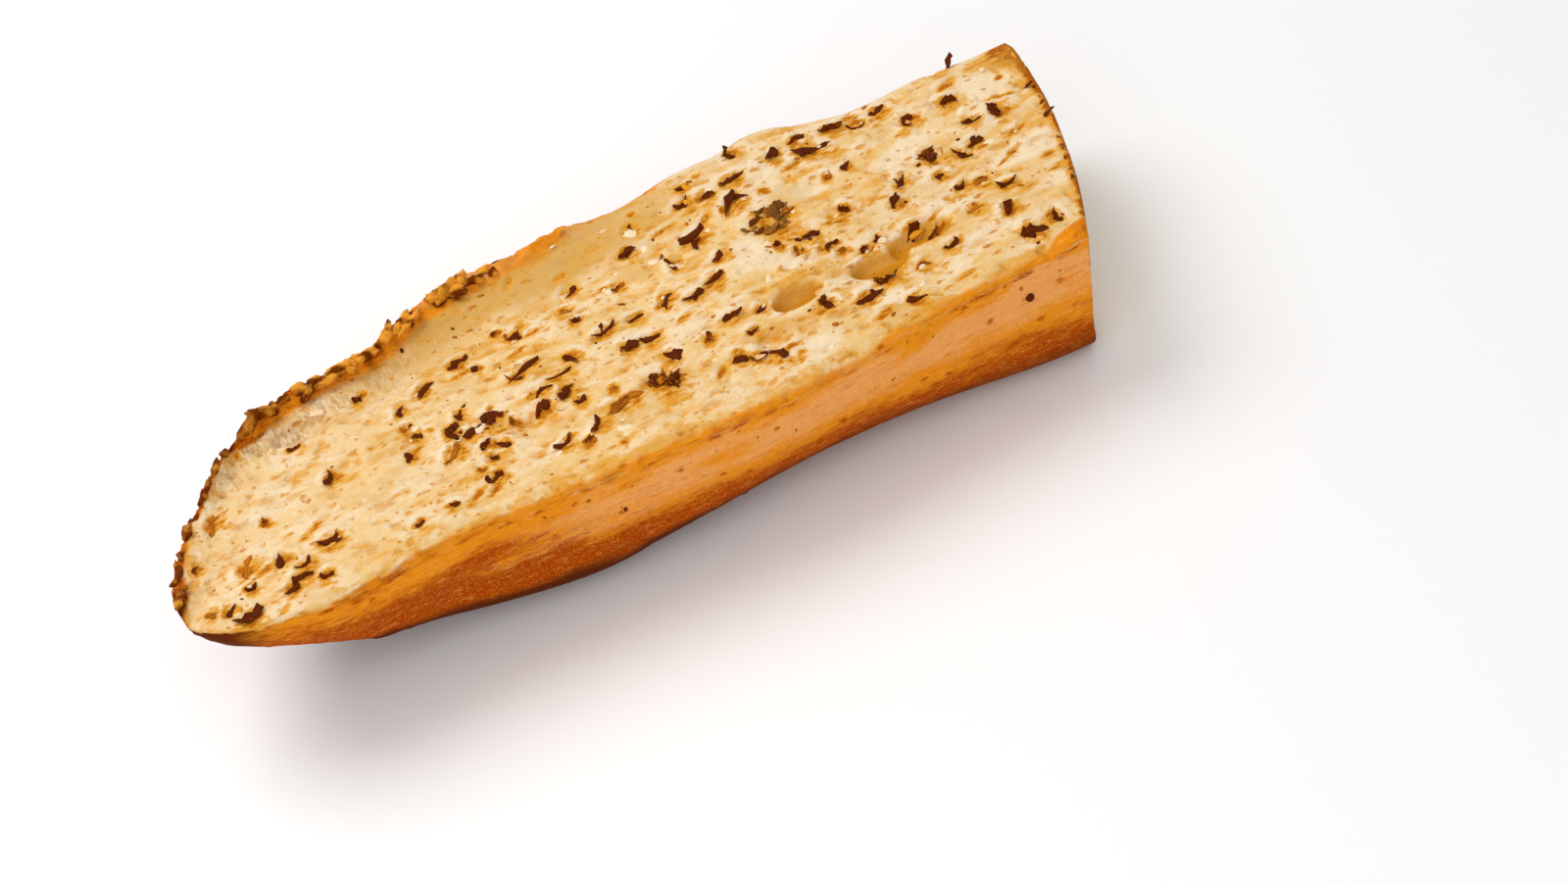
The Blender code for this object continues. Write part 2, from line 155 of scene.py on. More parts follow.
# The main flakes, in millimetres and degrees: place on X and Y, length, width, turn.
MAIN_FLAKES = (
    (-105, -24, 2.5, 1.8, -60), (-102, -26, 3.5, 1.5, 35), (-99, -30, 6.5, 3.0, -8),
    (-96, 0, 7.0, 1.5, 35), (-95, -16, 6.5, 2.0, 45), (-89, -28, 3.5, 1.5, 10),
    (-88, -19, 4.0, 2.0, 45), (-86, -26, 5.0, 1.6, -5), (-84, -23, 4.5, 1.6, 15),
    (-77, -19, 5.0, 2.8, 0), (-70, -2, 4.0, 1.6, 50), (-50, -2, 2.6, 1.6, -40),
    (-46, -12, 6.0, 1.8, 40), (-44, 10, 6.0, 1.6, 32), (-44, -6, 5.0, 2.4, 65),
    (-41, -23, 4.0, 1.8, 42), (-40, -9, 4.5, 1.2, 0), (-39, -14, 3.5, 1.5, 15),
    (-36, -15, 3.5, 2.0, -40), (-35, -8, 5.0, 3.4, -10), (-34, 14, 5.5, 2.2, 10),
    (-25, -11, 4.0, 2.4, 8), (-25, -23, 5.0, 1.6, 28), (-24, 2, 9.0, 1.5, 20),
    (-23, -6, 4.5, 1.4, 12), (-21, 14, 3.2, 2.6, -20), (-21, -26, 2.6, 2.0, -45),
    (-19, -10, 5.0, 2.2, 48), (-18, -5, 6.0, 1.2, 0), (-17, -23, 5.5, 1.6, 52),
    (-13, -1, 4.0, 2.0, -50), (-10, -20, 8.5, 2.2, 8), (-8, 14, 3.0, 2.0, -30),
    (-5, 20, 4.5, 1.8, 40), (-4, 2, 6.5, 1.2, 18), (-2, -6, 4.5, 2.2, -5),
    (0, -20, 9.0, 5.0, -15), (3, -6, 4.5, 2.0, -5), (3, 2, 4.0, 1.6, 2),
    (4, -14, 4.0, 2.6, -35), (4, 14, 3.2, 1.4, 18), (10, 3, 5.0, 1.6, 52),
    (10, 22, 4.5, 2.8, 27), (14, 28, 3.2, 2.0, 38), (15, -23, 3.2, 2.2, 10),
    (16, 0, 5.5, 1.4, 8), (17, 12, 4.0, 1.3, 85), (19, -25, 4.5, 2.0, -15),
    (20, -11, 5.0, 1.6, 0), (22, 2, 5.0, 1.8, 0), (23, -27, 4.5, 2.2, -70),
    (25, 17, 8.0, 1.8, 20), (26, 7, 3.6, 1.6, 40), (27, 28, 4.0, 1.6, 12),
    (32, 27, 4.5, 1.8, 5), (36, 21, 8.0, 2.0, 47), (38, -20, 3.6, 2.0, -60),
    (39, 28, 6.5, 1.4, 2), (40, 11, 9.0, 8.0, 10), (43, 36, 4.0, 2.0, 75),
    (45, 2, 4.0, 2.0, -8), (46, -3, 4.0, 1.6, 45), (46, -23, 6.5, 1.8, 12),
    (50, 29, 3.6, 2.0, 0), (53, -20, 7.0, 2.2, 14), (54, -30, 4.5, 2.4, -5),
    (55, 5, 2.6, 2.0, -20), (57, 31, 4.5, 2.6, 28), (58, 26, 8.5, 2.2, -5),
    (60, -21, 3.5, 1.4, 8), (62, 17, 3.2, 1.3, 32), (64, -9, 4.0, 1.6, 25),
    (65, 0, 3.0, 2.0, 15), (65, 30, 5.0, 2.0, 3), (68, -11, 5.0, 1.4, 20),
    (68, -20, 4.0, 1.4, 8), (69, 5, 4.5, 1.3, 48), (70, 28, 4.0, 1.6, 5),
    (76, 29, 4.0, 2.6, 2), (77, -13, 3.2, 1.8, 30), (78, 8, 4.5, 4.0, 40),
    (79, -4, 3.4, 1.4, 22), (80, 22, 3.2, 2.8, 30), (83, -5, 3.4, 1.8, 10),
    (83, -18, 4.0, 1.8, 50), (84, -27, 6.0, 2.8, -12), (84, 5, 5.0, 1.8, -65),
    (87, -10, 4.5, 1.4, -18), (88, 6, 4.0, 2.0, 8), (90, -26, 4.0, 1.6, -85),
    (90, 22, 3.6, 2.0, -5), (91, 13, 4.5, 1.6, -8), (97, 12, 4.0, 2.6, 60),
)
# Flakes that stand up at the edge: place on the block along and across, turn, share of the length.
EDGE_FLAKES = (
    (0.885, 0.955, 0.9, 1.4),
    (0.455, 0.93, 0.5, 0.8),
    (0.98, 0.45, -0.8, 1.0),
    (0.985, 0.12, -0.4, 1.2),
)
EDGE_FLAKE_SIZE = (4.0 * MM, 1.4 * MM)

# Crags of broken crust along the rim.
CRAG_SEED = 5
CRAG_COUNT = 16
CRAG_REACH = (-0.94, -0.04)  # along the block
CRAG_LENGTH = (3.0 * MM, 7.0 * MM)
CRAG_WIDTH = (2.0 * MM, 3.4 * MM)
CRAG_PROUD = (0.9 * MM, 2.2 * MM)

SEED_SPOT = (0.86, -1.0, 0.22)  # the burnt seed baked onto the near crust, on the block

# Forms that the scene adds to the solid's: the bread.
OPEN_POCKETS = 3  # the first of the pockets; the others are shallow hollows
POCKET_WALL = 0.9 * MM  # how much more steeply the near side of an open one drops
RIM_CHIP = 0.8 * MM  # unevenness of the broken rim
CORNER_RISE = 1.8 * MM  # the crust pokes up at the near corner of the cut end
AIR_CELLS = ((4.6 * MM, 1.5 * MM), (2.1 * MM, 0.6 * MM))  # of the cut end: size and depth
TEAR_SEED = 77
TEAR_LENGTH = (1.6 * MM, 8.0 * MM)
TEAR_WIDTH = (0.7 * MM, 1.6 * MM)
SHEEN_LEVEL = 0.05

# Leaves.
LEAF_CELLS = 7  # cells along a leaf
SLIVER = (0.45, 1.1, 0.5)  # the least and most share of a narrow leaf's width, and the most at its tips
CHIP = (0.6, 1.1, 0.8)  # the same for a broad one
LEAF_SINK = 0.06 * MM  # how far a leaf is pressed into the crumb
HEAP_WIDTH = 3.8 * MM  # a main flake wider than this is a clump of leaves
HEAP_AREA = 2.2 * MM * MM  # of the clump, for each leaf
HEAP_CURL = 0.3 * MM
ASHEN_WIDTH = 6 * MM  # a clump wider than this has gone grey-brown
EDGE_LEAN = 0.8  # how far an edge flake leans out of the crumb's plane
EDGE_FOOT = 0.14  # how far along itself it is set out of the bread
CRUMB_LEVEL = 30 * MM  # where a leaf starts that overhangs the bread
BASE_LEVEL = 25 * MM  # the cut face lies well above this

# Crags and other lumps.
RIM_KNOBS = 70  # small lumps between the crags
KNOB_SIZES = ((1.6 * MM, 4.5 * MM), (0.9 * MM, 1.8 * MM), (0.3 * MM, 0.9 * MM))
RIM_TOP = 38 * MM  # lumps of the rim are the browner the further below this they lie
CUT_KNOBS = 16  # small lumps along the edge of the cut end
SEED_RADIUS = 1.0 * MM
CRUMB_SEED = 66
# Bits strewn over the cut face: seed, share drawn to a flake, how near to it, sizes, how finely
# they are made, how flat, how brown, and how far they are sunk.
SPECKS = (33, 0.5, 4 * MM, (0.4 * MM, 1.4 * MM), 1, 0.4, (-0.5, 0.7), 0.0)
GARLIC = (44, 0.85, 2.2 * MM, (1.2 * MM, 2.8 * MM), 2, 0.35, (0.0, 1.1), 0.0)
TUFTS = (55, 0.6, 3.2 * MM, (1.0 * MM, 3.0 * MM), 2, 0.25, (-0.2, 0.5), 0.08)

# Painted tears: size in millimetres, share of the crumb, stretch, strength.
TEAR_SPOTS = ((3.4, 0.18, 0.5, 0.5), (1.8, 0.17, 0.55, 0.85), (1.1, 0.14, 0.8, 0.85))
# Tones as a screen shows them.
PALE_STREAK = (250, 184, 92)
FRECKLE = (250, 200, 134)
PEBBLE = (250, 166, 50)
POCKET_BUTTER = (230, 172, 74)
# Painted shade inside the open pores of the cut end.
AIR_CELL_SHADE = (214, 168, 104)
CRAG_TONES = ((232, 156, 50), (112, 46, 4))
SHEEN = (255, 190, 110)


def display(red, green, blue):
    """A colour as a screen shows it, 0 to 255, turned into the linear one that shaders take."""
    shares = (red / 255, green / 255, blue / 255)
    return tuple(c / 12.92 if c < 0.04045 else ((c + 0.055) / 1.055) ** 2.4 for c in shares)


def colour(name, text, shown):
    return bpy.props.FloatVectorProperty(
        name=name, description=text, subtype="COLOR", size=3, min=0, max=1, default=display(*shown)
    )


def length(name, text, value):
    return bpy.props.FloatProperty(
        name=name, description=text, subtype="DISTANCE", unit="LENGTH", min=0, default=value
    )


def power(name, text, value):
    return bpy.props.FloatProperty(name=name, description=text, min=0, default=value)


def count(name, text, value):
    return bpy.props.IntProperty(name=name, description=text, min=1, default=value)


class CrumbSettings(bpy.types.PropertyGroup):
    cells_long: count("Cells Along", "How finely the bread is cut along its length", 432)
    cells_wide: count("Cells Across", "How finely the bread is cut across", 160)
    cells_deep: count("Cells Down", "How finely the bread's sides are cut", 20)
    ridge: length("Ridge Height", "Height of the fine torn ridges of the crumb", 0.3 * MM)
    pit: length("Pit Depth", "Depth of the small open pores", 0.6 * MM)
    fibre: length("Fibre Height", "Height of the torn fibres beside the rim", 0.9 * MM)
    lip: length("Lip Height", "Height of the crumb raised beside each flake and tear", 0.34 * MM)
    dent: length("Dent Depth", "Depth of the dents that flakes and tears lie in", 0.34 * MM)
    edge: length("Edge Round", "How far the edge of the cut face is rounded off", 0.7 * MM)
    tears: count("Toasted Tears", "Number of short browned tears without a flake", 62)
    cream: colour("Crumb", "Untoasted crumb", (238, 197, 131))
    # Its lips beside flakes and tears are partly a painted highlight.
    pale: colour("Pale Crumb", "Pinkish white patches and lips of the crumb", (245, 221, 184))
    golden: colour("Toasted Crumb", "Golden streaks of the crumb", (228, 160, 54))
    # Also painted shade: the golden band below the rim and the far edge is partly shade of the hollow there.
    wash_and_shade: colour("Butter Wash", "Smooth golden band below the far edge", (214, 162, 78))
    brown: colour("Browned Crumb", "The most toasted places", (184, 98, 8))
    # Its deep side is partly painted shade.
    butter: colour("Melted Butter", "Deep side of the buttery air pockets", (208, 136, 28))
    # Painted shade in the gaps between the torn fibres.
    fibre_gap_shade: colour("Torn Fibres", "Brownish gaps between the torn fibres beside the rim", (184, 142, 86))


class CrustSettings(bpy.types.PropertyGroup):
    orange: colour("Crust", "Golden orange crust", (236, 142, 24))
    tan: colour("Pale Crust", "Pinkish tan zone along the middle of the side", (241, 164, 90))
    # Also painted shade, low on the side and towards the heel.
    deep_and_shade: colour("Deep Crust", "Darker crust towards the base", (172, 66, 0))
    # Also painted shade, in the lowest band of the side.
    burnt: colour("Burnt Crust", "Scorched edges and spots", (98, 38, 2))
    wrinkle: length("Wrinkle Height", "Height of the fine wrinkles of the crust", 0.4 * MM)
    crumbs: count("Crumbs", "Number of small browned crumbs baked onto the side", 20)


class HerbSettings(bpy.types.PropertyGroup):
    thickness: length("Flake Thickness", "Thickness of a dried leaf", 0.22 * MM)
    curl: length("Flake Curl", "How far the ends of a flake lift", 0.6 * MM)
    specks: count("Specks", "Number of small bits of herb", 110)
    dark: colour("Dark Herb", "Toasted leaf", (94, 36, 8))
    brown: colour("Brown Herb", "The browned ends of leaves", (190, 108, 20))
    ashen: colour("Ashen Herb", "The grey-brown leaves of the largest clump", (150, 106, 48))


class GarlicSettings(bpy.types.PropertyGroup):
    bits: count("Garlic Bits", "Number of bits of minced garlic", 20)
    tufts: count("Tufts", "Number of small tufts of torn crumb", 64)
    pale: colour("Garlic", "Soft minced garlic", (244, 218, 176))
    toasted: colour("Toasted Garlic", "Browned edges of the garlic", (226, 150, 36))


class StageSettings(bpy.types.PropertyGroup):
    floor: colour("Floor", "Plain pale floor", (250, 249, 248))
    sky: power("Sky", "Strength of the even light", 0.55)
    key: power("Key", "Power of the soft key light", 4.5)
    fill: power("Fill", "Power of the soft front light", 2.6)


def mix(a, b, share):
    return a + (b - a) * share


def hump(x, centre, reach):
    """1 at the centre, falling off smoothly with distance."""
    return math.exp(-(((x - centre) / reach) ** 2))


def step(x, start, end):
    """0 before start, 1 after end, smooth between."""
    t = min(1.0, max(0.0, (x - start) / (end - start)))
    return t * t * (3 - 2 * t)


def outline_lump(x, side, back):
    """How far the outline stands out at x, on the far side (side above 0) or the near one."""
    lumps = FAR_LUMPS if side > 0 else NEAR_LUMPS
    start, end, size = FAR_TAPER if side > 0 else HEEL_SWELL
    ramp = size * step(x if side > 0 else back, start, end)
    return ramp + sum(size * hump(x, centre, reach) for centre, reach, size in lumps)


def loaf_point(u, v, w):
    """The smooth half loaf. u runs from the heel (-1) to the cut end (1), v from the near side (-1)
    to the far side (1), and w from the cut face (0) down to the base (1)."""
    heel = max(0.0, -u)
    along = math.sqrt(1 - v * v / 2 - w * w / 2 + v * v * w * w / 3)
    across = math.sqrt(1 - heel * heel / 2 / (1 - w * w / 2) * (1 - w * w * 2 / 3))
    down = math.sqrt(1 - heel * heel / 2 / (1 - v * v / 2) * (1 - v * v * 2 / 3))
    back = heel * along

    roundness = ROUNDNESS + MIDDLE_ROUNDNESS * hump(u, *MIDDLE)
    roundness += CUT_ROUNDNESS * step(u, 0.6, 1.0) + HEEL_ROUNDNESS * heel * heel
    power = 1 / roundness
    outer = max(abs(v), w)
    rounded = outer / (abs(v) ** power + w**power) ** roundness if outer > 0 else 1.0

    y = HALF_WIDTH * v * rounded * across
    depth = DEPTH * w * rounded * down * max(0.0, 1 - back * back) ** HEEL_RISE
    if u < 0:
        x = STATION_X - HEEL_LENGTH * back
    else:
        cut = CUT_X + CUT_SKEW * y + CUT_BOW * (1 - (y / HALF_WIDTH) ** 2) - CUT_LEAN * depth
        x = mix(STATION_X, cut, u)
    y += v * outline_lump(x, v, back) - HEEL_BEND * back**3
    return Vector((x, y, max(DEPTH - depth, BASE_CLIP) - BASE_CLIP))


def wave(x, y, long, wide, layer):
    """Smooth noise from -1 to 1, drawn out to these lengths in millimetres."""
    return noise.noise(Vector((x / (long * MM), y / (wide * MM), layer)))


def rim_share(x, u, v):
    """1 on the raised rim round the heel and 0 on the crumb."""
    return step(max(v, -u + min(v, 0.0)), 0.86, 0.97) * (1 - step(x, *RIM_START))


def face_relief(x, y, u, v):
    """Height of the cut face above its plane."""
    height = SWELL_HEIGHT * wave(x, y, 34, 19, 1.3)
    height += TEAR_HEIGHT * wave(x, y, 11, 5, 7.7)
    on_heel = 1 - step(x, *RIM_START)
    crag = 0.75 + 0.55 * wave(x, y, 5, 5, 3.1)
    height += RIM_HEIGHT * crag * rim_share(x, u, v)
    height -= HOLLOW_DEPTH * hump(v, 0.66, 0.2) * on_heel
    height -= ROLL_DEPTH * step(v, 0.84, 1.0) * (1 - on_heel)
    height -= NEAR_ROLL_DEPTH * step(-v, 0.88, 1.0)
    for px, py, half_long, half_wide, depth in POCKETS:
        reach = math.hypot((x - px) / half_long, (y - py) / half_wide)
        height -= depth * (1 - step(reach, 0.55, 1.15))
    return height


def pocket_share(x, y, start=0.55, end=1.1):
    """1 inside an open air pocket and 0 outside, and how far to its near side, from -1 to 1."""
    best = (0.0, 0.0)
    for px, py, half_long, half_wide, _ in POCKETS[:OPEN_POCKETS]:
        reach = math.hypot((x - px) / half_long, (y - py) / half_wide)
        reach += 0.12 * wave(x, y, 2.6, 2.0, 94.0)
        best = max(best, (1 - step(reach, start, end), (py - y) / half_wide))
    return best


def fibre_share(x, y, v):
    """1 on the torn grey crumb beside the rim."""
    patch = hump(v, 0.72, 0.17) * hump(x, -74 * MM, 26 * MM)
    return patch * (0.7 + 0.6 * wave(x, y, 7, 4, 9.4))


def wash_and_shade_share(x, u, v):
    """1 on the smooth golden band below the rim and the far edge: partly the crumb's golden tone, partly
    painted shade of the hollow there.
    """
    ragged = 0.1 * wave(x, v * HALF_WIDTH, 14, 6, 98.0)
    band = step(v + ragged, 0.42, 0.72) * (1 - rim_share(x, u, v))
    return band * step(x, -95 * MM, -50 * MM) * (1 - step(x, 8 * MM, 38 * MM))


def near_corner(u, v):
    """1 at the near corner of the cut end, where the crust pokes up, and 0 away from it."""
    return hump(math.hypot((u - 1) * 1.6, (v + 1) * 0.75), 0, 0.1)


def fine_relief(x, y, u, v):
    """What the bread adds to the solid's cut face: torn ridges, pores, fibres and a rounded edge."""
    sizes = bpy.context.scene.garlic_bread_crumb
    sway = 2.5 * MM * wave(x, y, 16, 9, 4.4)
    ridge = 1 - 2 * abs(wave(x, y + sway, 7.0, 3.0, 12.1))
    soft = wave(x, y + sway, 2.9, 1.8, 15.8)
    height = sizes.ridge * (0.75 * ridge + 0.45 * soft) * mix(0.3, 1.0, step(x, -60 * MM, 15 * MM))
    height -= sizes.pit * step(wave(x, y, 2.4, 1.9, 22.5), 0.28, 0.62)
    strand = 1 - 2 * abs(wave(x + y, y - 0.6 * x, 1.4, 5.0, 31.2))
    height *= 1 - 0.6 * wash_and_shade_share(x, u, v)
    height += sizes.fibre * strand * fibre_share(x, y, v)
    inside, nearer = pocket_share(x, y)
    height *= 1 - 0.75 * inside
    height -= POCKET_WALL * pocket_share(x, y, 0.75, 1.0)[0] * step(nearer, -0.3, 0.7)
    chip = wave(x, y, 3.1, 2.1, 40.3) + 0.5 * wave(x, y, 1.3, 1.1, 43.9)
    height += RIM_CHIP * chip * rim_share(x, u, v)
    height += CORNER_RISE * near_corner(u, v)
    edge = max(step(abs(v), 0.965, 1.0), step(u, 0.988, 1.0), step(-u, 0.985, 1.0))
    return height - sizes.edge * edge * edge


def bread_point(u, v, w):
    """The half loaf with its lumps and the relief of its cut face, as the solid has it."""
    point = loaf_point(u, v, w)
    lump = CRUST_LUMP * wave(point.x + point.z, point.y - point.z, 17, 13, 5.2)
    lump *= 1 - step(w, *LUMP_FADE)
    if abs(v) > ON_SIDE:
        point.y += math.copysign(lump, v)
    if v < -ON_SIDE:
        point.y += CREASE_DEPTH * hump(w, *CREASE_LEVEL) * hump(point.x, *CREASE_SPAN)
    if u > ON_SIDE:
        point.x += lump * w
    point.z += face_relief(point.x, point.y, u, v) * (1 - step(w, 0.0, RELIEF_FADE))
    return point


def crust_wrinkle(point, w):
    """Fine wrinkles along the loaf and small blisters, as a distance out of the side."""
    height = bpy.context.scene.garlic_bread_crust.wrinkle
    rise = point.z + point.y * 0.3
    long = wave(point.x, rise, 14, 1.7, 51.0) + 0.6 * wave(point.x, rise, 5, 0.9, 54.0)
    blister = step(wave(point.x, point.z, 2.6, 2.2, 57.0), 0.35, 0.7)
    return height * (0.7 * long + 0.9 * blister) * step(w, 0.02, 0.12) * (1 - step(w, 0.85, 1.0))


def crumb_hole(point):
    """Depth of the open holes in the crosswise cut."""
    place = Vector((point.x * 0.3, point.y, point.z))
    return sum(depth * (1 - step(noise.voronoi(place / size)[0][0], 0.1, 0.5)) for size, depth in AIR_CELLS)


def detailed_point(u, v, w):
    """The bread with all its relief, in the loaf's own frame."""
    point = bread_point(u, v, w)
    if w < EDGE_FADE:
        point.z += fine_relief(point.x, point.y, u, v) * (1 - step(w, 0.0, EDGE_FADE))
    if w < TINY:
        return point
    if abs(v) > ON_SIDE:
        point.y += math.copysign(crust_wrinkle(point, w), v)
    elif u < -ON_SIDE:
        point.x -= crust_wrinkle(point, w)
    if u > ON_SIDE and w < 0.93 and abs(v) < 0.93:
        point.x -= crumb_hole(point)
    return point


@lru_cache(maxsize=None)
def loaf_shift():
    """From the loaf's own frame to that of the solid, which is centred in plan."""
    steps = [number / 60 for number in range(-60, 61)]
    outline = [bread_point(u, v, 0.0) for u in steps for v in (-1.0, 1.0)]
    outline += [bread_point(u, v, 0.0) for v in steps for u in (-1.0, 1.0)]
    xs = [point.x for point in outline]
    ys = [point.y for point in outline]
    return Vector((-(min(xs) + max(xs)) / 2, -(min(ys) + max(ys)) / 2, 0.0))


def face_frame(u, v):
    """A place on the cut face and its tangent frame: X along the loaf, Z out of the crumb."""
    nudge = 0.01
    place = bread_point(u, v, 0)
    along = (bread_point(u + nudge, v, 0) - bread_point(u - nudge, v, 0)).normalized()
    across = bread_point(u, v + nudge, 0) - bread_point(u, v - nudge, 0)
    out = along.cross(across).normalized()
    matrix = Matrix((along, out.cross(along), out)).transposed().to_4x4()
    matrix.translation = place + loaf_shift()
    return matrix


def herb_weight(x, y):
    """How readily a flake lies at this place: more in the clumps."""
    weight = HERB_THIN
    for cx, cy, reach, size in HERB_CLUMPS:
        weight += size * hump(math.hypot(x - cx, y - cy), 0, reach)
    return weight


def block_place(x, y):
    """The place on the block, along and across, whose point on the cut face is at x and y."""
    u = v = 0.0
    for _ in range(PLACE_ROUNDS):
        point = loaf_point(u, v, 0)
        u = min(1.0, max(-1.0, u + (x - point.x) / (CUT_X - STATION_X)))
        v = min(1.0, max(-1.0, v + (y - point.y) / HALF_WIDTH))
    return u, v


def main_places():
    """The frame, length and width of the main flakes."""
    places = []
    for x, y, long, wide, turn in MAIN_FLAKES:
        matrix = face_frame(*block_place(x * MM, y * MM))
        matrix @= Matrix.Rotation(math.radians(turn), 4, "Z")
        places.append((matrix, long * MM, wide * MM))
    return places


@lru_cache(maxsize=None)
def herb_places():
    """The main flakes, and then the small ones by a seeded draw that keeps them apart."""
    draw = random.Random(HERB_SEED)
    places = main_places()
    while len(places) < len(MAIN_FLAKES) + HERB_COUNT:
        u = draw.uniform(-0.97, 0.96)
        v = draw.uniform(-0.84, 0.9)
        chance = draw.random()
        turn = draw.gauss(0.12, HERB_TURN)
        size = draw.random() ** 2.0
        slim = draw.random()
        spot = loaf_point(u, v, 0)
        if chance > herb_weight(spot.x, spot.y):
            continue
        spot += loaf_shift()
        gaps = ((spot - matrix.translation).xy.length - long / 3 for matrix, long, _ in places)
        if min(gaps) < HERB_GAP:
            continue
        matrix = face_frame(u, v) @ Matrix.Rotation(turn, 4, "Z")
        places.append((matrix, mix(*HERB_LENGTH, size), mix(*HERB_WIDTH, slim)))
    return places


@lru_cache(maxsize=None)
def tear_places():
    """The frame, length and width of the short browned tears that hold no flake."""
    draw = random.Random(TEAR_SEED)
    places = []
    while len(places) < bpy.context.scene.garlic_bread_crumb.tears:
        u, v = draw.uniform(-0.96, 0.98), draw.uniform(-0.9, 0.93)
        calm = 0.55 * (1 - step(u, -0.6, -0.2))
        turn, size, slim = draw.gauss(0.16, 0.35), draw.random() ** 1.6, draw.random()
        if draw.random() > calm:
            matrix = face_frame(u, v) @ Matrix.Rotation(turn, 4, "Z")
            places.append((matrix, mix(*TEAR_LENGTH, size), mix(*TEAR_WIDTH, slim)))
    return places


@lru_cache(maxsize=None)
def crag_places():
    """The frame, length, width and height of every crag, spread along the rim."""
    draw = random.Random(CRAG_SEED)
    places = []
    for number in range(CRAG_COUNT):
        u = mix(*CRAG_REACH, (number + draw.random()) / CRAG_COUNT)
        matrix = face_frame(u, draw.uniform(0.91, 0.97)) @ Matrix.Rotation(draw.gauss(0.1, 0.3), 4, "Z")
        sizes = [mix(*span, draw.random()) for span in (CRAG_LENGTH, CRAG_WIDTH, CRAG_PROUD)]
        places.append((matrix, *sizes))
    return places


def near_marks(points, places, grow, aside=0.0, slim=1.0, below=1.0):
    """For each point, 1 at the middle of the nearest mark and 0 well away from all of them. The
    marks may be grown, made slimmer, set aside towards the far side by that many widths, or
    drawn out towards the near side."""
    field = np.zeros(len(points))
    for matrix, long, wide in places:
        heading = matrix.col[0].xy.normalized()
        dx = points[:, 0] - matrix.translation.x
        dy = points[:, 1] - matrix.translation.y
        along = (dx * heading.x + dy * heading.y) / (long / 2 + grow)
        across = (dy * heading.x - dx * heading.y - aside * (wide / 2 + grow)) / (wide * slim / 2 + grow)
        across = np.where(across < 0, across / below, across)
        field = np.maximum(field, np.exp(-((along**2 + across**2) ** 1.5)))
    return field


def add_piece(name, mesh, material):
    """Links a finished mesh as a piece that rides on the bread and stands for its solid."""
    mesh.shade_smooth()
    mesh.materials.append(material)
    piece = bpy.data.objects.new(name, mesh)
    bpy.context.scene.collection.objects.link(piece)
    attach(piece, "root")
    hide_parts(NODE)
    return piece


def finish_mesh(bm, name):
    mesh = bpy.data.meshes.new(name)
    bm.to_mesh(mesh)
    bm.free()
    return mesh


def new_material(name):
    material = bpy.data.materials.new(name)
    material.use_nodes = True
    return material, Nodes(material.node_tree)


class Nodes:
    """Adds shader nodes to one tree with few words: sockets are given by name or number."""

    def __init__(self, tree):
        self.tree = tree
        self.shader = tree.nodes.get("Principled BSDF")

    def add(self, kind, inputs=None, **settings):
        made = self.tree.nodes.new(kind)
        for key, value in settings.items():
            setattr(made, key, value)
        for key, value in (inputs or {}).items():
            self.feed(made.inputs[key], value)
        return made

    def feed(self, socket, value):
        if isinstance(value, bpy.types.NodeSocket):
            self.tree.links.new(value, socket)
        elif hasattr(value, "__len__") and len(value) == 3 and socket.type == "RGBA":
            socket.default_value = (*value, 1.0)
        else:
            socket.default_value = value

    def math(self, operation, first, second=0.0, clamp=False):
        made = self.add("ShaderNodeMath", {0: first, 1: second}, operation=operation, use_clamp=clamp)
        return made.outputs[0]

    def ramp(self, value, low, high):
        """Smoothly from 0 at low to 1 at high."""
        made = self.add(
            "ShaderNodeMapRange",
            {"Value": value, "From Min": low, "From Max": high},
            interpolation_type="SMOOTHSTEP",
        )
        return made.outputs["Result"]

    def plus(self, first, second, clamp=False):
        return self.math("ADD", first, second, clamp)

    def minus(self, first, second, clamp=False):
        return self.math("SUBTRACT", first, second, clamp)

    def times(self, first, second):
        return self.math("MULTIPLY", first, second)

    def blend(self, share, first, second):
        made = self.add("ShaderNodeMix", data_type="RGBA")
        self.feed(made.inputs[0], share)
        self.feed(made.inputs[6], first)
        self.feed(made.inputs[7], second)
        return made.outputs[2]

    def noise(self, vector, scale, detail=3.0, roughness=0.55):
        inputs = {"Vector": vector, "Scale": scale, "Detail": detail, "Roughness": roughness}
        return self.add("ShaderNodeTexNoise", inputs).outputs["Fac"]

    def tint(self, base, mask, strength, tone):
        """Colours the base at most this strongly where the mask is 1."""
        return self.blend(self.times(mask, strength), base, tone)

    def streaks(self, stretch, scale, detail, roughness, low, high):
        """A mask of patches drawn out along the loaf, cut from noise between two levels."""
        return self.ramp(self.noise(self.place((stretch, 1.0, 1.0)), scale, detail, roughness), low, high)

    def swing(self, stretch, scale, detail, roughness, reach):
        """Noise about 0, drawn out along the loaf."""
        plain = self.noise(self.place((stretch, 1.0, 1.0)), scale, detail, roughness)
        return self.times(self.minus(plain, 0.5), reach)

    def place(self, scale=(1, 1, 1)):
        """Object coordinates in millimetres, stretched."""
        coordinates = self.add("ShaderNodeTexCoord").outputs["Object"]
        sizes = tuple(1 / MM * share for share in scale)
        return self.add("ShaderNodeMapping", {"Vector": coordinates, "Scale": sizes}).outputs[0]

    def mask(self, name):
        return self.add("ShaderNodeAttribute", attribute_name=name).outputs["Fac"]

    def group(self, tree, inputs):
        made = self.add("ShaderNodeGroup", node_tree=tree)
        for key, value in inputs.items():
            self.feed(made.inputs[key], value)
        return made.outputs

    def bump(self, height, distance, strength, normal=None):
        inputs = {"Height": height, "Distance": distance, "Strength": strength}
        if normal:
            inputs["Normal"] = normal
        return self.add("ShaderNodeBump", inputs).outputs[0]

    def finish(self, base, normal, roughness):
        """Feeds the shader, with weak reflections in the warm tone of toast."""
        inputs = self.shader.inputs
        self.feed(inputs["Base Color"], base)
        self.feed(inputs["Normal"], normal)
        self.feed(inputs["Roughness"], roughness)
        inputs["Specular IOR Level"].default_value = SHEEN_LEVEL
        inputs["Specular Tint"].default_value = (*display(*SHEEN), 1.0)


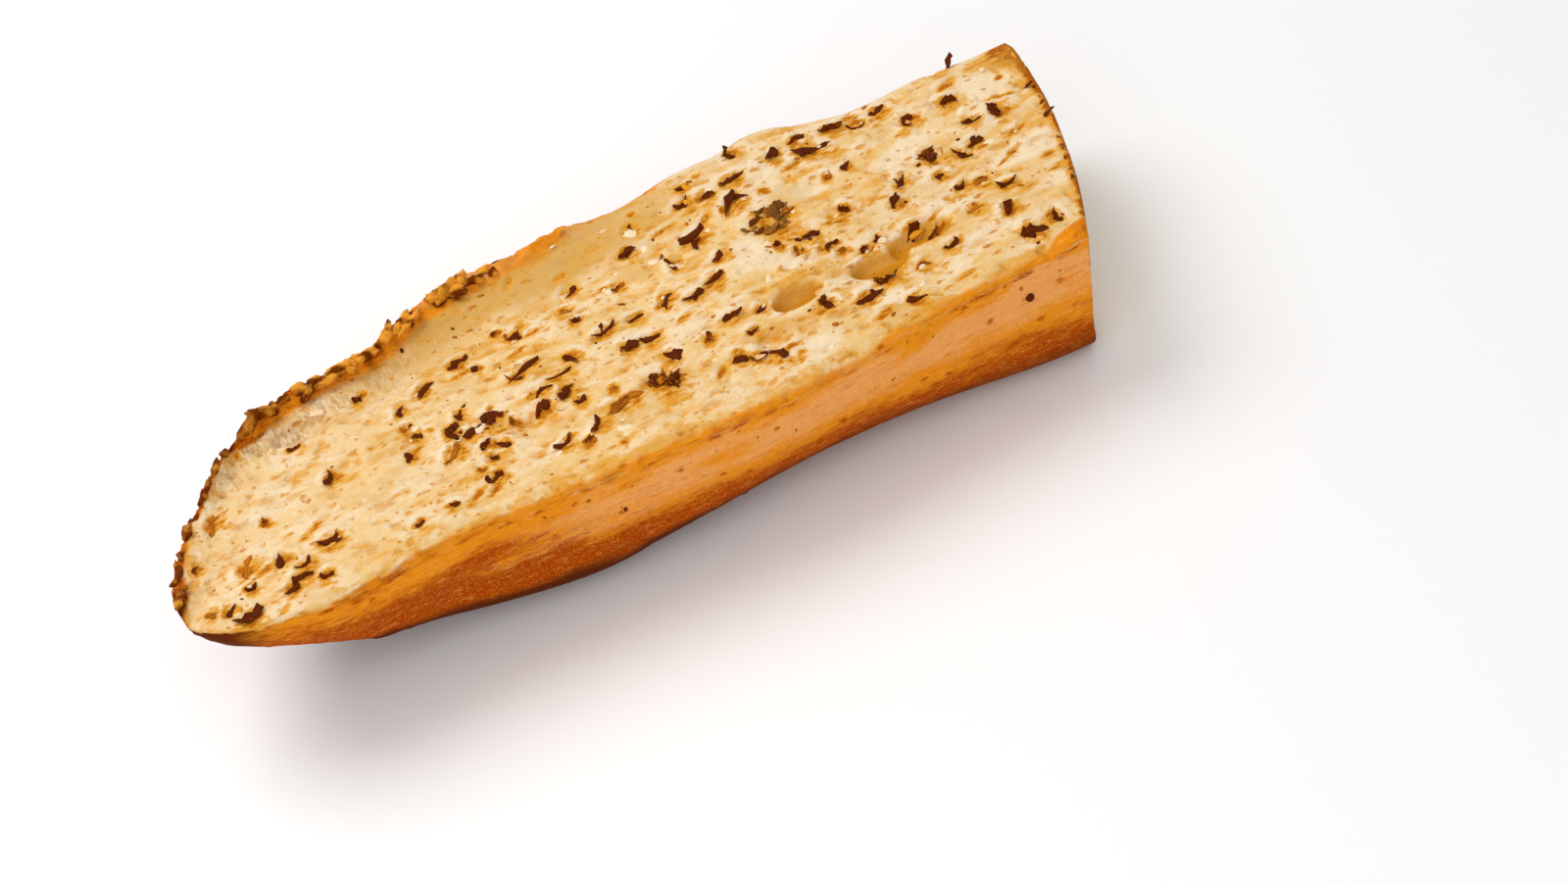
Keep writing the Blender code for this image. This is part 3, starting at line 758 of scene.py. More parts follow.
def new_group(name, inputs, outputs):
    """An empty shader group with named number and colour sockets, and its two end nodes."""
    tree = bpy.data.node_groups.new(name, "ShaderNodeTree")
    for socket, kind in inputs.items():
        tree.interface.new_socket(socket, in_out="INPUT", socket_type="NodeSocket" + kind)
    for socket, kind in outputs.items():
        tree.interface.new_socket(socket, in_out="OUTPUT", socket_type="NodeSocket" + kind)
    start = tree.nodes.new("NodeGroupInput")
    end = tree.nodes.new("NodeGroupOutput")
    return tree, Nodes(tree), start, end


def bread_grain():
    """Fine grain of baked dough: tints a colour and gives a height."""
    if "Bread grain" in bpy.data.node_groups:
        return bpy.data.node_groups["Bread grain"]
    inputs = {"Colour": "Color", "Size": "Float", "Tint": "Float"}
    tree, nodes, start, end = new_group("Bread grain", inputs, {"Colour": "Color", "Height": "Float"})
    place = nodes.place()
    rate = nodes.math("DIVIDE", 1.0, start.outputs["Size"])
    fine = nodes.noise(place, rate, 5.0, 0.62)
    coarse = nodes.noise(place, nodes.times(rate, 0.28), 3.0, 0.5)
    both = nodes.plus(nodes.times(fine, 0.6), nodes.times(coarse, 0.4))
    swing = nodes.times(nodes.minus(both, 0.5), start.outputs["Tint"])
    value = nodes.plus(swing, 1.0)
    shaded = nodes.add("ShaderNodeHueSaturation", {"Color": start.outputs["Colour"], "Value": value})
    nodes.feed(end.inputs["Colour"], shaded.outputs[0])
    nodes.feed(end.inputs["Height"], both)
    return tree


def toasted_spots():
    """Small browned tears: a mask of them, and a tone from 1 at a tear's far edge to 0 at the near one."""
    if "Toasted spots" in bpy.data.node_groups:
        return bpy.data.node_groups["Toasted spots"]
    inputs = {"Place": "Vector", "Size": "Float", "Share": "Float"}
    tree, nodes, start, end = new_group("Toasted spots", inputs, {"Mask": "Float", "Tone": "Float"})
    rate = nodes.math("DIVIDE", 1.0, start.outputs["Size"])
    scaled = nodes.add("ShaderNodeVectorMath", {0: start.outputs["Place"], "Scale": rate}, operation="SCALE")
    wobble = nodes.add("ShaderNodeTexNoise", {"Vector": scaled.outputs[0], "Scale": 1.9, "Detail": 3.0})
    pushed = nodes.add(
        "ShaderNodeVectorMath",
        {0: wobble.outputs["Color"], 1: (0.9, 0.9, 0.9), 2: scaled.outputs[0]},
        operation="MULTIPLY_ADD",
    )
    cells = nodes.add("ShaderNodeTexVoronoi", {"Vector": pushed.outputs[0], "Scale": 1.0})
    chance = nodes.add("ShaderNodeSeparateColor", {"Color": cells.outputs["Color"]})
    chosen = nodes.math("LESS_THAN", chance.outputs[0], start.outputs["Share"])
    inside = nodes.add(
        "ShaderNodeVectorMath", {0: pushed.outputs[0], 1: cells.outputs["Position"]}, operation="SUBTRACT"
    )
    offset = nodes.add("ShaderNodeSeparateXYZ", {"Vector": inside.outputs[0]})
    core = nodes.ramp(cells.outputs["Distance"], 0.5, 0.2)
    tone = nodes.plus(nodes.times(offset.outputs["Y"], 2.4), chance.outputs[1])
    nodes.feed(end.inputs["Mask"], nodes.times(core, chosen))
    nodes.feed(end.inputs["Tone"], nodes.minus(tone, 0.15, clamp=True))
    return tree


def crumb_colour(nodes, crumb):
    """Cream crumb with pale patches, golden washes partly of painted shade, browned tears and stains below
    the flakes.
    """
    patch = nodes.streaks(0.5, 0.15, 5.0, 0.65, 0.48, 0.58)
    wisp = nodes.streaks(0.5, 0.62, 5.0, 0.7, 0.5, 0.64)
    both = nodes.plus(nodes.times(patch, 0.5), nodes.times(wisp, 0.3))
    base = nodes.blend(nodes.plus(nodes.mask("pale"), both, clamp=True), crumb.cream, crumb.pale)
    swing = nodes.swing(0.5, 0.42, 6.0, 0.68, 3.0)
    toast = nodes.plus(nodes.mask("toast"), nodes.minus(swing, nodes.times(patch, 0.35)))
    base = nodes.tint(base, nodes.ramp(toast, 0.0, 0.9), 0.85, crumb.golden)
    base = nodes.blend(nodes.ramp(toast, 0.95, 1.7), base, crumb.brown)
    blotch = nodes.times(nodes.streaks(0.7, 0.11, 3.0, 0.6, 0.5, 0.66), 0.4)
    # The band below the rim and the far edge takes this tone, partly as painted shade.
    base = nodes.tint(base, nodes.math("MAXIMUM", blotch, nodes.mask("wash_and_shade")), 0.85, crumb.wash_and_shade)
    strands = nodes.ramp(nodes.noise(nodes.place((1.0, 0.25, 1.0)), 1.1, 5.0, 0.7), 0.4, 0.58)
    # The fibres are mixed with painted shade in the gaps between them.
    base = nodes.tint(base, nodes.mask("fibre"), 0.95, nodes.blend(strands, crumb.fibre_gap_shade, crumb.pale))
    for size, share, stretch, strength in TEAR_SPOTS:
        inputs = {"Place": nodes.place((stretch, 1.0, 1.0)), "Size": size, "Share": share}
        spots = nodes.group(toasted_spots(), inputs)
        shade = nodes.tint(crumb.golden, spots["Tone"], strength, crumb.brown)
        base = nodes.tint(base, spots["Mask"], strength, shade)
    streak = nodes.streaks(0.4, 1.3, 5.0, 0.7, 0.38, 0.62)
    broken = nodes.times(nodes.mask("stain"), nodes.plus(streak, 0.55))
    stain = nodes.plus(broken, nodes.times(swing, 0.28))
    base = nodes.blend(nodes.ramp(stain, 0.12, 0.5), base, crumb.golden)
    base = nodes.tint(base, nodes.ramp(stain, 0.5, 1.0), 0.9, crumb.brown)
    # The deep butter tone on each pocket's near side is partly painted shade.
    wet = nodes.plus(nodes.mask("butter"), nodes.times(swing, 0.06))
    base = nodes.tint(base, nodes.ramp(wet, 0.05, 0.4), 0.9, display(*POCKET_BUTTER))
    return nodes.blend(nodes.ramp(wet, 0.35, 0.95), base, crumb.butter)


def crust_colour(nodes, crust):
    """Orange crust with a pale tan zone, darker towards the base and the heel partly by painted shade, with
    streaks, specks and scorches.
    """
    swing = nodes.swing(0.2, 0.8, 6.0, 0.7, 2.2)
    pale = nodes.plus(nodes.mask("pale"), nodes.times(swing, 0.8))
    base = nodes.blend(nodes.ramp(pale, 0.25, 1.0), crust.orange, crust.tan)
    # Darker towards the base and the heel: partly the crust's own colour, partly painted shade.
    base = nodes.blend(nodes.ramp(nodes.plus(nodes.mask("deep_and_shade"), swing), 0.2, 1.2), base, crust.deep_and_shade)
    base = nodes.tint(base, nodes.streaks(0.16, 1.7, 5.0, 0.65, 0.54, 0.68), 0.45, display(*PALE_STREAK))
    base = nodes.tint(base, nodes.streaks(0.1, 1.3, 5.0, 0.65, 0.55, 0.72), 0.55, crust.deep_and_shade)
    freckle = nodes.times(nodes.streaks(1.0, 1.6, 4.0, 0.75, 0.56, 0.66), nodes.ramp(pale, 0.1, 0.8))
    base = nodes.tint(base, freckle, 0.5, display(*FRECKLE))
    base = nodes.tint(base, nodes.streaks(0.7, 2.6, 3.0, 0.6, 0.5, 0.64), 0.32, display(*PEBBLE))
    spots = nodes.group(toasted_spots(), {"Place": nodes.place((0.7, 1.0, 1.0)), "Size": 2.0, "Share": 0.05})
    base = nodes.tint(base, spots["Mask"], 0.75, crust.deep_and_shade)
    # The scorch mask also carries painted shade low on the side.
    scorch_and_shade = nodes.plus(nodes.mask("scorch_and_shade"), nodes.times(swing, 0.2))
    return nodes.blend(nodes.ramp(scorch_and_shade, 0.15, 0.9), base, crust.burnt)


def bread_pores():
    """Open air cells of two sizes: a mask, 1 in the cells."""
    if "Bread pores" in bpy.data.node_groups:
        return bpy.data.node_groups["Bread pores"]
    tree, nodes, start, end = new_group("Bread pores", {"Size": "Float"}, {"Mask": "Float"})
    masks = []
    for share, keep in ((1.0, 0.22), (0.4, 0.16)):
        rate = nodes.math("DIVIDE", 1.0 / share, start.outputs["Size"])
        place = nodes.place((1.0, 0.7, 1.2))
        sway = nodes.add("ShaderNodeTexNoise", {"Vector": place, "Scale": nodes.times(rate, 1.5)})
        inputs = {0: sway.outputs["Color"], 1: (1.6 * share,) * 3, 2: place}
        bent = nodes.add("ShaderNodeVectorMath", inputs, operation="MULTIPLY_ADD")
        cells = nodes.add("ShaderNodeTexVoronoi", {"Vector": bent.outputs[0], "Scale": rate})
        masks.append(nodes.ramp(cells.outputs["Distance"], keep + 0.14, keep - 0.12))
    nodes.feed(end.inputs["Mask"], nodes.math("MAXIMUM", *masks))
    return tree


def bread_material():
    crumb = bpy.context.scene.garlic_bread_crumb
    crust = bpy.context.scene.garlic_bread_crust
    material, nodes = new_material("Toasted bread")
    pores = nodes.times(nodes.group(bread_pores(), {"Size": 4.4})["Mask"], nodes.mask("pores"))
    # Painted shade darkens the open pores of the cut end.
    pore_shaded = nodes.tint(crumb_colour(nodes, crumb), pores, 0.5, display(*AIR_CELL_SHADE))
    inside = nodes.group(bread_grain(), {"Colour": pore_shaded, "Size": 0.5, "Tint": 0.3})
    outside = nodes.group(bread_grain(), {"Colour": crust_colour(nodes, crust), "Size": 0.4, "Tint": 0.5})
    strand = nodes.bump(nodes.noise(nodes.place((0.6, 1.3, 1.0)), 0.9, 4.0, 0.6), 0.6 * MM, 0.45)
    sunk = nodes.minus(inside["Height"], nodes.times(pores, 1.5))
    dry = nodes.plus(0.6, nodes.times(inside["Height"], 0.3))
    nodes.finish(
        nodes.blend(nodes.mask("crust"), inside["Colour"], outside["Colour"]),
        nodes.bump(sunk, 0.5 * MM, 0.8, strand),
        nodes.plus(dry, nodes.times(nodes.mask("butter"), -0.12), clamp=True),
    )
    return material


def herb_material():
    herbs = bpy.context.scene.garlic_bread_herbs
    material, nodes = new_material("Toasted herb")
    uneven = nodes.swing(1.0, 0.8, 3.0, 0.55, 1.0)
    base = nodes.blend(nodes.ramp(nodes.plus(nodes.mask("char"), uneven), 0.05, 0.5), herbs.brown, herbs.dark)
    base = nodes.blend(nodes.mask("ashen"), base, herbs.ashen)
    grain = nodes.group(bread_grain(), {"Colour": base, "Size": 0.4, "Tint": 0.6})
    rough = nodes.plus(0.45, nodes.times(uneven, 0.4))
    nodes.finish(grain["Colour"], nodes.bump(grain["Height"], 0.3 * MM, 0.7), rough)
    return material


def toasted_material(name, pale, toasted, size):
    """Pale where the attribute toast is 0 and browned where it is 1."""
    material, nodes = new_material(name)
    uneven = nodes.swing(1.0, 0.7, 3.0, 0.55, 1.0)
    base = nodes.blend(nodes.ramp(nodes.plus(nodes.mask("toast"), uneven), 0.1, 0.9), pale, toasted)
    grain = nodes.group(bread_grain(), {"Colour": base, "Size": size, "Tint": 0.35})
    rough = nodes.plus(0.5, nodes.times(uneven, 0.4))
    nodes.finish(grain["Colour"], nodes.bump(grain["Height"], 0.4 * MM, 0.6), rough)
    return material


def ease(share, power):
    """A place from -1 to 1, crowded towards both ends."""
    return math.copysign(1 - (1 - abs(share)) ** power, share)


def cut_block(cells):
    """A closed block of quads from -1 to 1 each way."""
    bm = bmesh.new()
    bmesh.ops.create_cube(bm, size=2)
    for axis, number in enumerate(cells):
        edges = [e for e in bm.edges if abs((e.verts[0].co - e.verts[1].co)[axis]) > TINY]
        bmesh.ops.subdivide_edges(bm, edges=edges, cuts=number - 1, use_grid_fill=True)
    return bm


def rim_nearness(x, u, v):
    """1 at the far edge and the tip of the heel, and less away from them. The browned rim is broad beside the
    torn fibres, where its widened inner edge is painted shade of the gap between rim and crumb, and narrow at
    the tip."""
    # Painted shade: the band reaches further in beside the torn fibres.
    torn = 0.08 * hump(x, -76 * MM, 13 * MM) + 0.045 * hump(x, -45 * MM, 30 * MM)
    return max(v, 1 - 2.4 * (1 + u) + min(v, 0.0)) + torn


def crust_share(point, u, v, w):
    """1 on crust and 0 on crumb, with a ragged border."""
    x, rise = point.x, point.y + point.z
    ragged = wave(x, rise, 7, 5, 61.0) + 0.7 * wave(x, rise, 1.9, 1.3, 64.0)
    if u > ON_SIDE and w > TINY:
        return step(max(abs(v), w) + 0.012 * ragged, 0.93, 0.96)
    if w > TINY:
        return step(w + 0.03 * ragged, -0.015, 0.02)
    near = step(-v + 0.03 * ragged + 0.3 * near_corner(u, v), 0.955, 0.998)
    rim = step(rim_nearness(x, u, v) + 0.03 * ragged, 0.885, 0.94) * (1 - step(x, *RIM_START))
    far = 0.85 * step(v + 0.02 * ragged, 0.965, 0.99) * (1 - step(x, 30 * MM, 60 * MM))
    return max(near, rim, far)


def paint_side(point, u, v, w):
    """How pale, how dark and how scorched the crust is at a point of the side or base. Its darkening low on
    the side and towards the heel is partly painted shade.
    """
    x = point.x
    patch = wave(x, point.z, 14, 5, 67.0)
    heel = step(-x, 20 * MM, 60 * MM)
    # Painted shade: 1 towards the heel end, where the crust is painted darker and less pale.
    shade = 1 - step(x, -50 * MM, 40 * MM)
    pale = hump(w + 0.1 * patch, 0.23, 0.18) * (1 - heel) * (1.1 - 0.4 * shade + 0.9 * patch)
    fold = hump(w, CREASE_LEVEL[0] - 0.1, 0.06) * hump(x, *CREASE_SPAN)
    # Darker low on the side: partly the crust's own colour, partly painted shade.
    deep_and_shade = (1.2 + 0.5 * shade) * step(w + 0.1 * patch, 0.33, 0.7)
    deep_and_shade += heel * (0.15 + 0.75 * step(w, 0.05, 0.4) + 0.6 * patch)
    deep_and_shade += 0.8 * rim_share(x, u, v) * step(-x, 50 * MM, 72 * MM)
    # Painted shade, high on the side towards the heel.
    deep_and_shade += 0.35 * shade * step(w, 0.1, 0.3)
    deep_and_shade += hump(w, 0.03, 0.03) * (0.55 + 1.3 * wave(x, point.z, 4, 3, 97.0))
    flare = 0.5 + 0.8 * wave(x, point.y, 9, 9, 81.0)
    scorch_and_shade = hump(w, 0.0, 0.04) * flare * (0.5 * step(-u, 0.9, 1.0) + 0.5 * rim_share(x, u, v))
    # The darkest band low on the side is partly painted shade.
    scorch_and_shade += (0.55 + 0.5 * shade) * step(w + 0.08 * patch, 0.52, 0.84)
    tip = hump(math.hypot(u + 1, (v + 0.35) / 2), 0, 0.2) * (1 - step(w, 0.2, 0.5))
    return pale + 0.6 * fold, deep_and_shade, scorch_and_shade + tip


def paint_face(point, u, v):
    """How toasted, buttery, fibrous, pale and scorched the cut face is at a point, apart from its marks. Its
    toast also carries painted shade in the relief's hollows and under each open pocket's near lip, and its
    butter deepens towards that lip partly as painted shade.
    """
    x, y = point.x, point.y
    toast = 0.3 + 0.55 * wave(x, y, 15, 6, 71.0) + 0.35 * wave(x, y, 5, 1.8, 74.0)
    # Painted shade: low places of the relief are more golden and high ones paler.
    toast -= 0.3 * fine_relief(x, y, u, v) / bpy.context.scene.garlic_bread_crumb.ridge
    # Browned rim; beside the torn fibres its inner edge is painted shade.
    toast += 0.9 * step(rim_nearness(x, u, v), 0.8, 0.92) * (1 - step(x, *RIM_START))
    brink = step(u + 0.012 * wave(x, y, 5, 5, 87.0), 0.975, 0.995)
    toast += 1.5 * brink
    toast += 0.55 * step(-v, 0.88, 0.98) * mix(0.35, 1.0, step(x, -60 * MM, -15 * MM))
    toast += 0.6 * step(v, 0.95, 1.0) * (1 - step(x, 20 * MM, 45 * MM))
    toast += 2.8 * hump(math.hypot((u - 1) * 2.8, (v - 1) * 0.55), 0, 0.16)
    pale = 0.22 * (1 - step(x, -75 * MM, -15 * MM)) * (1 - step(abs(v), 0.6, 0.9))
    cloud = step(wave(x, y, 13, 6, 77.0), 0.0, 0.45) * step(x, -10 * MM, 40 * MM)
    pale += 0.8 * cloud
    pale += 0.8 * hump(x, -22 * MM, 18 * MM) * step(v, 0.88, 0.94)
    fibre = fibre_share(x, y, v)
    scorch_and_shade = rim_share(x, u, v) * (0.15 + 1.7 * wave(x, y, 4, 2.2, 84.0))
    scorch_and_shade += 0.9 * hump(math.hypot(u + 1, (v + 0.35) / 2), 0, 0.2) * step(-u, 0.88, 0.97)
    scorch_and_shade += brink * (0.25 + 0.9 * wave(x, y, 6, 6, 89.0))
    inside, nearer = pocket_share(x, y, 0.88, 1.12)
    # Painted shadow: a brown ring under the near lip of each open pocket.
    toast += 1.5 * (pocket_share(x, y, 1.0, 1.28)[0] - inside) * step(nearer, 0.3, 0.8)
    # The butter deepens towards each pocket's near side, partly as painted shade.
    return toast - pale, inside * mix(0.5, 1.0, step(nearer, -0.9, 0.2)), fibre, pale, scorch_and_shade


def mark_face(bm, layers):
    """Dents the cut face where flakes and tears lie, raises a pale lip beside each, partly a painted
    highlight, and stains it.
    In front of each crag of the rim it dents and darkens the crust, partly scorch and partly painted shade."""
    sizes = bpy.context.scene.garlic_bread_crumb
    face = [vert for vert in bm.verts if vert[layers["face"]] > 0.5]
    points = np.array([vert.co.xy for vert in face])
    herbs, tears = herb_places(), tear_places()
    stain = near_marks(points, herbs, 0.7 * MM, below=2.2)
    lip = near_marks(points, herbs, 0.6 * MM, 1.35, 0.6)
    bed = near_marks(points, herbs, 0.3 * MM)
    tear = near_marks(points, tears, 0.1 * MM)
    tear_stain = near_marks(points, tears, 0.5 * MM, below=2.6)
    tear_lip = near_marks(points, tears, 0.4 * MM, 1.5, 0.5)
    hollow = near_marks(points, [place[:3] for place in crag_places()], 0.3 * MM, -0.9)
    for number, vert in enumerate(face):
        x, y = vert.co.xy
        rough = 0.8 + 0.75 * wave(x, y, 3.0, 1.7, 87.0)
        rough += 0.35 * wave(x, y, 1.1, 0.9, 88.0)
        raised = max(lip[number], 0.7 * tear_lip[number]) * rough
        sunk = max(bed[number], tear[number])
        clear = (1 - vert[layers["crust"]]) * (1 - vert[layers["butter"]])
        vert.co.z += (sizes.lip * raised * (1 - sunk) - sizes.dent * sunk) * clear
        # Partly painted shade: the hollow in front of each crag is dented and darkened.
        vert.co.z -= sizes.dent * hollow[number]
        vert[layers["scorch_and_shade"]] = min(1.0, vert[layers["scorch_and_shade"]] + 0.45 * hollow[number] * rough)
        stained = max(0.95 * stain[number], 0.35 * tear_stain[number] + 0.8 * tear[number])
        vert[layers["stain"]] = max(0.0, stained * rough * clear)
        # The lips are painted paler: partly the crumb's own paleness, partly a painted highlight.
        vert[layers["toast"]] -= 0.6 * raised * (1 - sunk)
        pale_lip_and_highlight = 1.2 * raised * (1 - sunk) * (1 - 0.6 * stained) * clear
        vert[layers["pale"]] = max(vert[layers["pale"]], pale_lip_and_highlight)


def paint_bread(bm):
    """Shapes the block into the bread, and stores how each point of it is baked."""
    names = ("crust", "toast", "butter", "fibre", "pale", "deep_and_shade", "scorch_and_shade", "stain", "pores", "wash_and_shade", "face")
    layers = {name: bm.verts.layers.float.new(name) for name in names}
    shift = loaf_shift()
    for vert in bm.verts:
        u, v, up = vert.co
        u, v = ease(u, 1.12), ease(v, 1.2)
        w = ((1 - up) / 2) ** 1.5
        point = detailed_point(u, v, w)
        vert.co = point + shift
        vert[layers["crust"]] = crust_share(point, u, v, w)
        pale, deep_and_shade, scorch_and_shade = paint_side(point, u, v, w)
        vert[layers["deep_and_shade"]] = deep_and_shade
        if w < TINY:
            vert[layers["face"]] = 1.0
            vert[layers["wash_and_shade"]] = wash_and_shade_share(point.x, u, v)
            toast, butter, fibre, pale, scorch_and_shade = paint_face(point, u, v)
            vert[layers["butter"]] = butter
            vert[layers["fibre"]] = fibre
        else:
            vert[layers["pores"]] = float(u > ON_SIDE)
            toast = 0.1 if u > ON_SIDE else 1.0
        vert[layers["toast"]] = toast
        vert[layers["pale"]] = pale
        vert[layers["scorch_and_shade"]] = min(1.0, max(0.0, scorch_and_shade))
    mark_face(bm, layers)


def thin_base(bm, cells):
    """Joins the block's base cells four by four each way: nobody sees the base so near."""
    spare = []
    for edge in bm.edges:
        ends = [vert.co for vert in edge.verts]
        if max(end.z for end in ends) > -1 + TINY:
            continue
        axis = 0 if abs(ends[0].x - ends[1].x) < TINY else 1
        line = (ends[0][axis] + 1) / 2 * cells[axis]
        if round(line) % 4 and abs(ends[0][axis]) < 1 - TINY:
            spare.append(edge)
    bmesh.ops.dissolve_edges(bm, edges=spare, use_verts=True)


class BREAD_OT_half_loaf(bpy.types.Operator):
    """Builds the bread itself: one closed half loaf with its crumb and its crust"""

    bl_idname = "garlic_bread.half_loaf"
    bl_label = "Half Loaf"

    def execute(self, context):
        sizes = context.scene.garlic_bread_crumb
        cells = (sizes.cells_long, sizes.cells_wide, sizes.cells_deep)
        bm = cut_block(cells)
        thin_base(bm, cells)
        paint_bread(bm)
        base = [f for f in bm.faces if max(vert.co.z for vert in f.verts) < TINY]
        bmesh.ops.dissolve_faces(bm, faces=base, use_verts=True)
        bmesh.ops.recalc_face_normals(bm, faces=bm.faces[:])
        add_piece("half_loaf", finish_mesh(bm, "half_loaf"), bread_material())
        return {"FINISHED"}


def bread_surface():
    """The finished bread, for laying things onto it."""
    mesh = bpy.data.objects["half_loaf"].data
    corners = [vert.co for vert in mesh.vertices]
    return BVHTree.FromPolygons(corners, [face.vertices for face in mesh.polygons])


def surface_height(surface, x, y):
    """Height of the bread under a place, or None beside the bread."""
    hit = surface.ray_cast(Vector((x, y, 0.1)), Vector((0, 0, -1)))[0]
    return None if hit is None or hit.z < BASE_LEVEL else hit.z


def lay_down(surface, verts):
    """Drops points whose heights are given above the crumb onto the bread's uneven face."""
    rest = CRUMB_LEVEL
    for vert in verts:
        rest = surface_height(surface, vert.co.x, vert.co.y) or rest
        vert.co.z += rest


def flat_frame(matrix):
    """The place and heading of a frame, laid level at height 0."""
    heading = math.atan2(matrix.col[0].y, matrix.col[0].x)
    spot = Matrix.Translation((matrix.translation.x, matrix.translation.y, 0))
    return spot @ Matrix.Rotation(heading, 4, "Z")


def leaf_mesh():
    bm = bmesh.new()
    return bm, {name: bm.verts.layers.float.new(name) for name in ("char", "ashen")}


def add_leaf(bm, draw, layers, matrix, size, char, ashen=0.0, curl=None):
    """One dried leaf: a thin closed plate, ragged and bent, that browns towards one end."""
    herbs = bpy.context.scene.garlic_bread_herbs
    curl = herbs.curl if curl is None else curl
    long, wide = size
    verts = bmesh.ops.create_grid(bm, x_segments=LEAF_CELLS, y_segments=2, size=0.5)["verts"]
    faces = {face for vert in verts for face in vert.link_faces}
    least, most, tip = SLIVER if long > 2.8 * wide else CHIP
    widths = [draw.uniform(least, most) for _ in range(LEAF_CELLS + 1)]
    widths[0] *= draw.uniform(0.1, tip)
    widths[-1] *= draw.uniform(0.1, tip)
    sway, middle = [], 0.0
    for _ in widths:
        middle += draw.gauss(0, 0.1 * wide)
        sway.append(middle)
    lift = (draw.uniform(-0.1, 1.0) * curl, draw.uniform(-0.1, 1.0) * curl)
    cup = draw.uniform(-0.2, 0.5)
    bow = draw.gauss(0, 0.12) * long
    fade = draw.choice((-1, 1))
    tail = draw.uniform(0.15, 0.8)
    for vert in verts:
        column = round((vert.co.x + 0.5) * LEAF_CELLS)
        t, s = 2 * vert.co.x, 2 * vert.co.y
        vert[layers["char"]] = char - 0.55 * step(fade * t, 0.1, 1.0) - 0.2 * step(-s, 0.0, 1.0)
        vert[layers["ashen"]] = ashen
        vert.co.x = long / 2 * (t + draw.uniform(-0.1, 0.1))
        taper = mix(1.0, tail, step(fade * t, -0.5, 1.0))
        half = widths[column] * wide / 2
        vert.co.y = half * s * taper * draw.uniform(0.8, 1.2) + sway[column] + bow * t * t
        vert.co.z = lift[t > 0] * t * t + cup * s * s * half
    raised = bmesh.ops.extrude_face_region(bm, geom=list(faces))["geom"]
    top = [item for item in raised if isinstance(item, bmesh.types.BMVert)]
    bmesh.ops.translate(bm, vec=(0, 0, herbs.thickness), verts=top)
    bmesh.ops.transform(bm, matrix=matrix, verts=verts + top)
    return verts + top


def add_heap(bm, draw, layers, spot, size, ashen):
    """A clump of many leaves piled over each other, as long and wide as given."""
    long, wide = size
    verts = []
    for _ in range(round(long * wide / mix(1.0, 1.8, ashen) / HEAP_AREA)):
        away = draw.uniform(0, math.tau)
        out = mix(0.42, 0.6, ashen) * math.sqrt(draw.random())
        place = Matrix.Translation((long * out * math.cos(away), wide * out * math.sin(away), 0))
        rise = Matrix.Translation((0, 0, 0.9 * MM * max(0.0, 1 - 2 * out) * draw.random()))
        turn = Matrix.Rotation(draw.uniform(-1.4, 1.4), 4, "Z") @ Matrix.Rotation(draw.gauss(0, 0.2), 4, "X")
        leaf = (draw.uniform(1.8 * MM, 4.4 * MM), draw.uniform(0.9 * MM, 2.6 * MM))
        char = draw.uniform(0.25, 1.0)
        share = ashen * draw.uniform(0.1, 1.0)
        verts += add_leaf(bm, draw, layers, spot @ place @ rise @ turn, leaf, char, share, HEAP_CURL)
    return verts


class BREAD_OT_herb_flakes(bpy.types.Operator):
    """Lays the dried herb leaves on the cut face, where the solid has them"""

    bl_idname = "garlic_bread.herb_flakes"
    bl_label = "Herb Flakes"

    def execute(self, context):
        surface = bread_surface()
        draw = random.Random(HERB_SEED + 1)
        bm, layers = leaf_mesh()
        raised = Matrix.Translation((0, 0, -LEAF_SINK))
        for matrix, long, wide in herb_places():
            spot = flat_frame(matrix) @ raised
            burnt = step(long, 2.0 * MM, 3.6 * MM) * 0.55 + 0.35
            char = draw.uniform(0.8, 1.25) if draw.random() < burnt else draw.uniform(0.1, 0.55)
            if wide > HEAP_WIDTH:
                ashen = 1.0 if wide > ASHEN_WIDTH else 0.0
                lay_down(surface, add_heap(bm, draw, layers, spot, (long, wide), ashen))
                continue
            lay_down(surface, add_leaf(bm, draw, layers, spot, (long, wide), char))
            if draw.random() < 0.18 * long / (2 * MM):
                side = Matrix.Translation((draw.uniform(-0.4, 0.4) * long, draw.uniform(-0.5, 0.5) * wide, 0))
                turn = Matrix.Rotation(draw.choice((-1, 1)) * draw.uniform(0.5, 1.3), 4, "Z")
                size = (draw.uniform(0.35, 0.55) * long, 0.75 * wide)
                lay_down(surface, add_leaf(bm, draw, layers, spot @ side @ turn, size, char))
        for u, v, turn, stature in EDGE_FLAKES:
            spot = face_frame(u, v) @ Matrix.Rotation(turn, 4, "Z")
            lean = Matrix.Rotation(-EDGE_LEAN, 4, "Y")
            size = (stature * EDGE_FLAKE_SIZE[0], EDGE_FLAKE_SIZE[1])
            foot = Matrix.Translation((EDGE_FOOT * size[0], 0, 0))
            add_leaf(bm, draw, layers, spot @ lean @ foot, size, 1.1)
        bmesh.ops.recalc_face_normals(bm, faces=bm.faces[:])
        add_piece("herb_flakes", finish_mesh(bm, "herb_flakes"), herb_material())
        return {"FINISHED"}


def add_bit(bm, draw, matrix, size, detail, squash, layer, value):
    """One small lump, uneven and closed."""
    verts = bmesh.ops.create_icosphere(bm, subdivisions=detail, radius=0.5 * size)["verts"]
    for vert in verts:
        vert.co *= draw.uniform(0.72, 1.25)
        vert.co.z *= squash
        vert[layer] = value
    stretch = Matrix.Diagonal((draw.uniform(0.9, 1.8), draw.uniform(0.7, 1.1), 1, 1))
    turn = Matrix.Rotation(draw.uniform(0, math.tau), 4, "Z")
    bmesh.ops.transform(bm, matrix=matrix @ turn @ stretch, verts=verts)


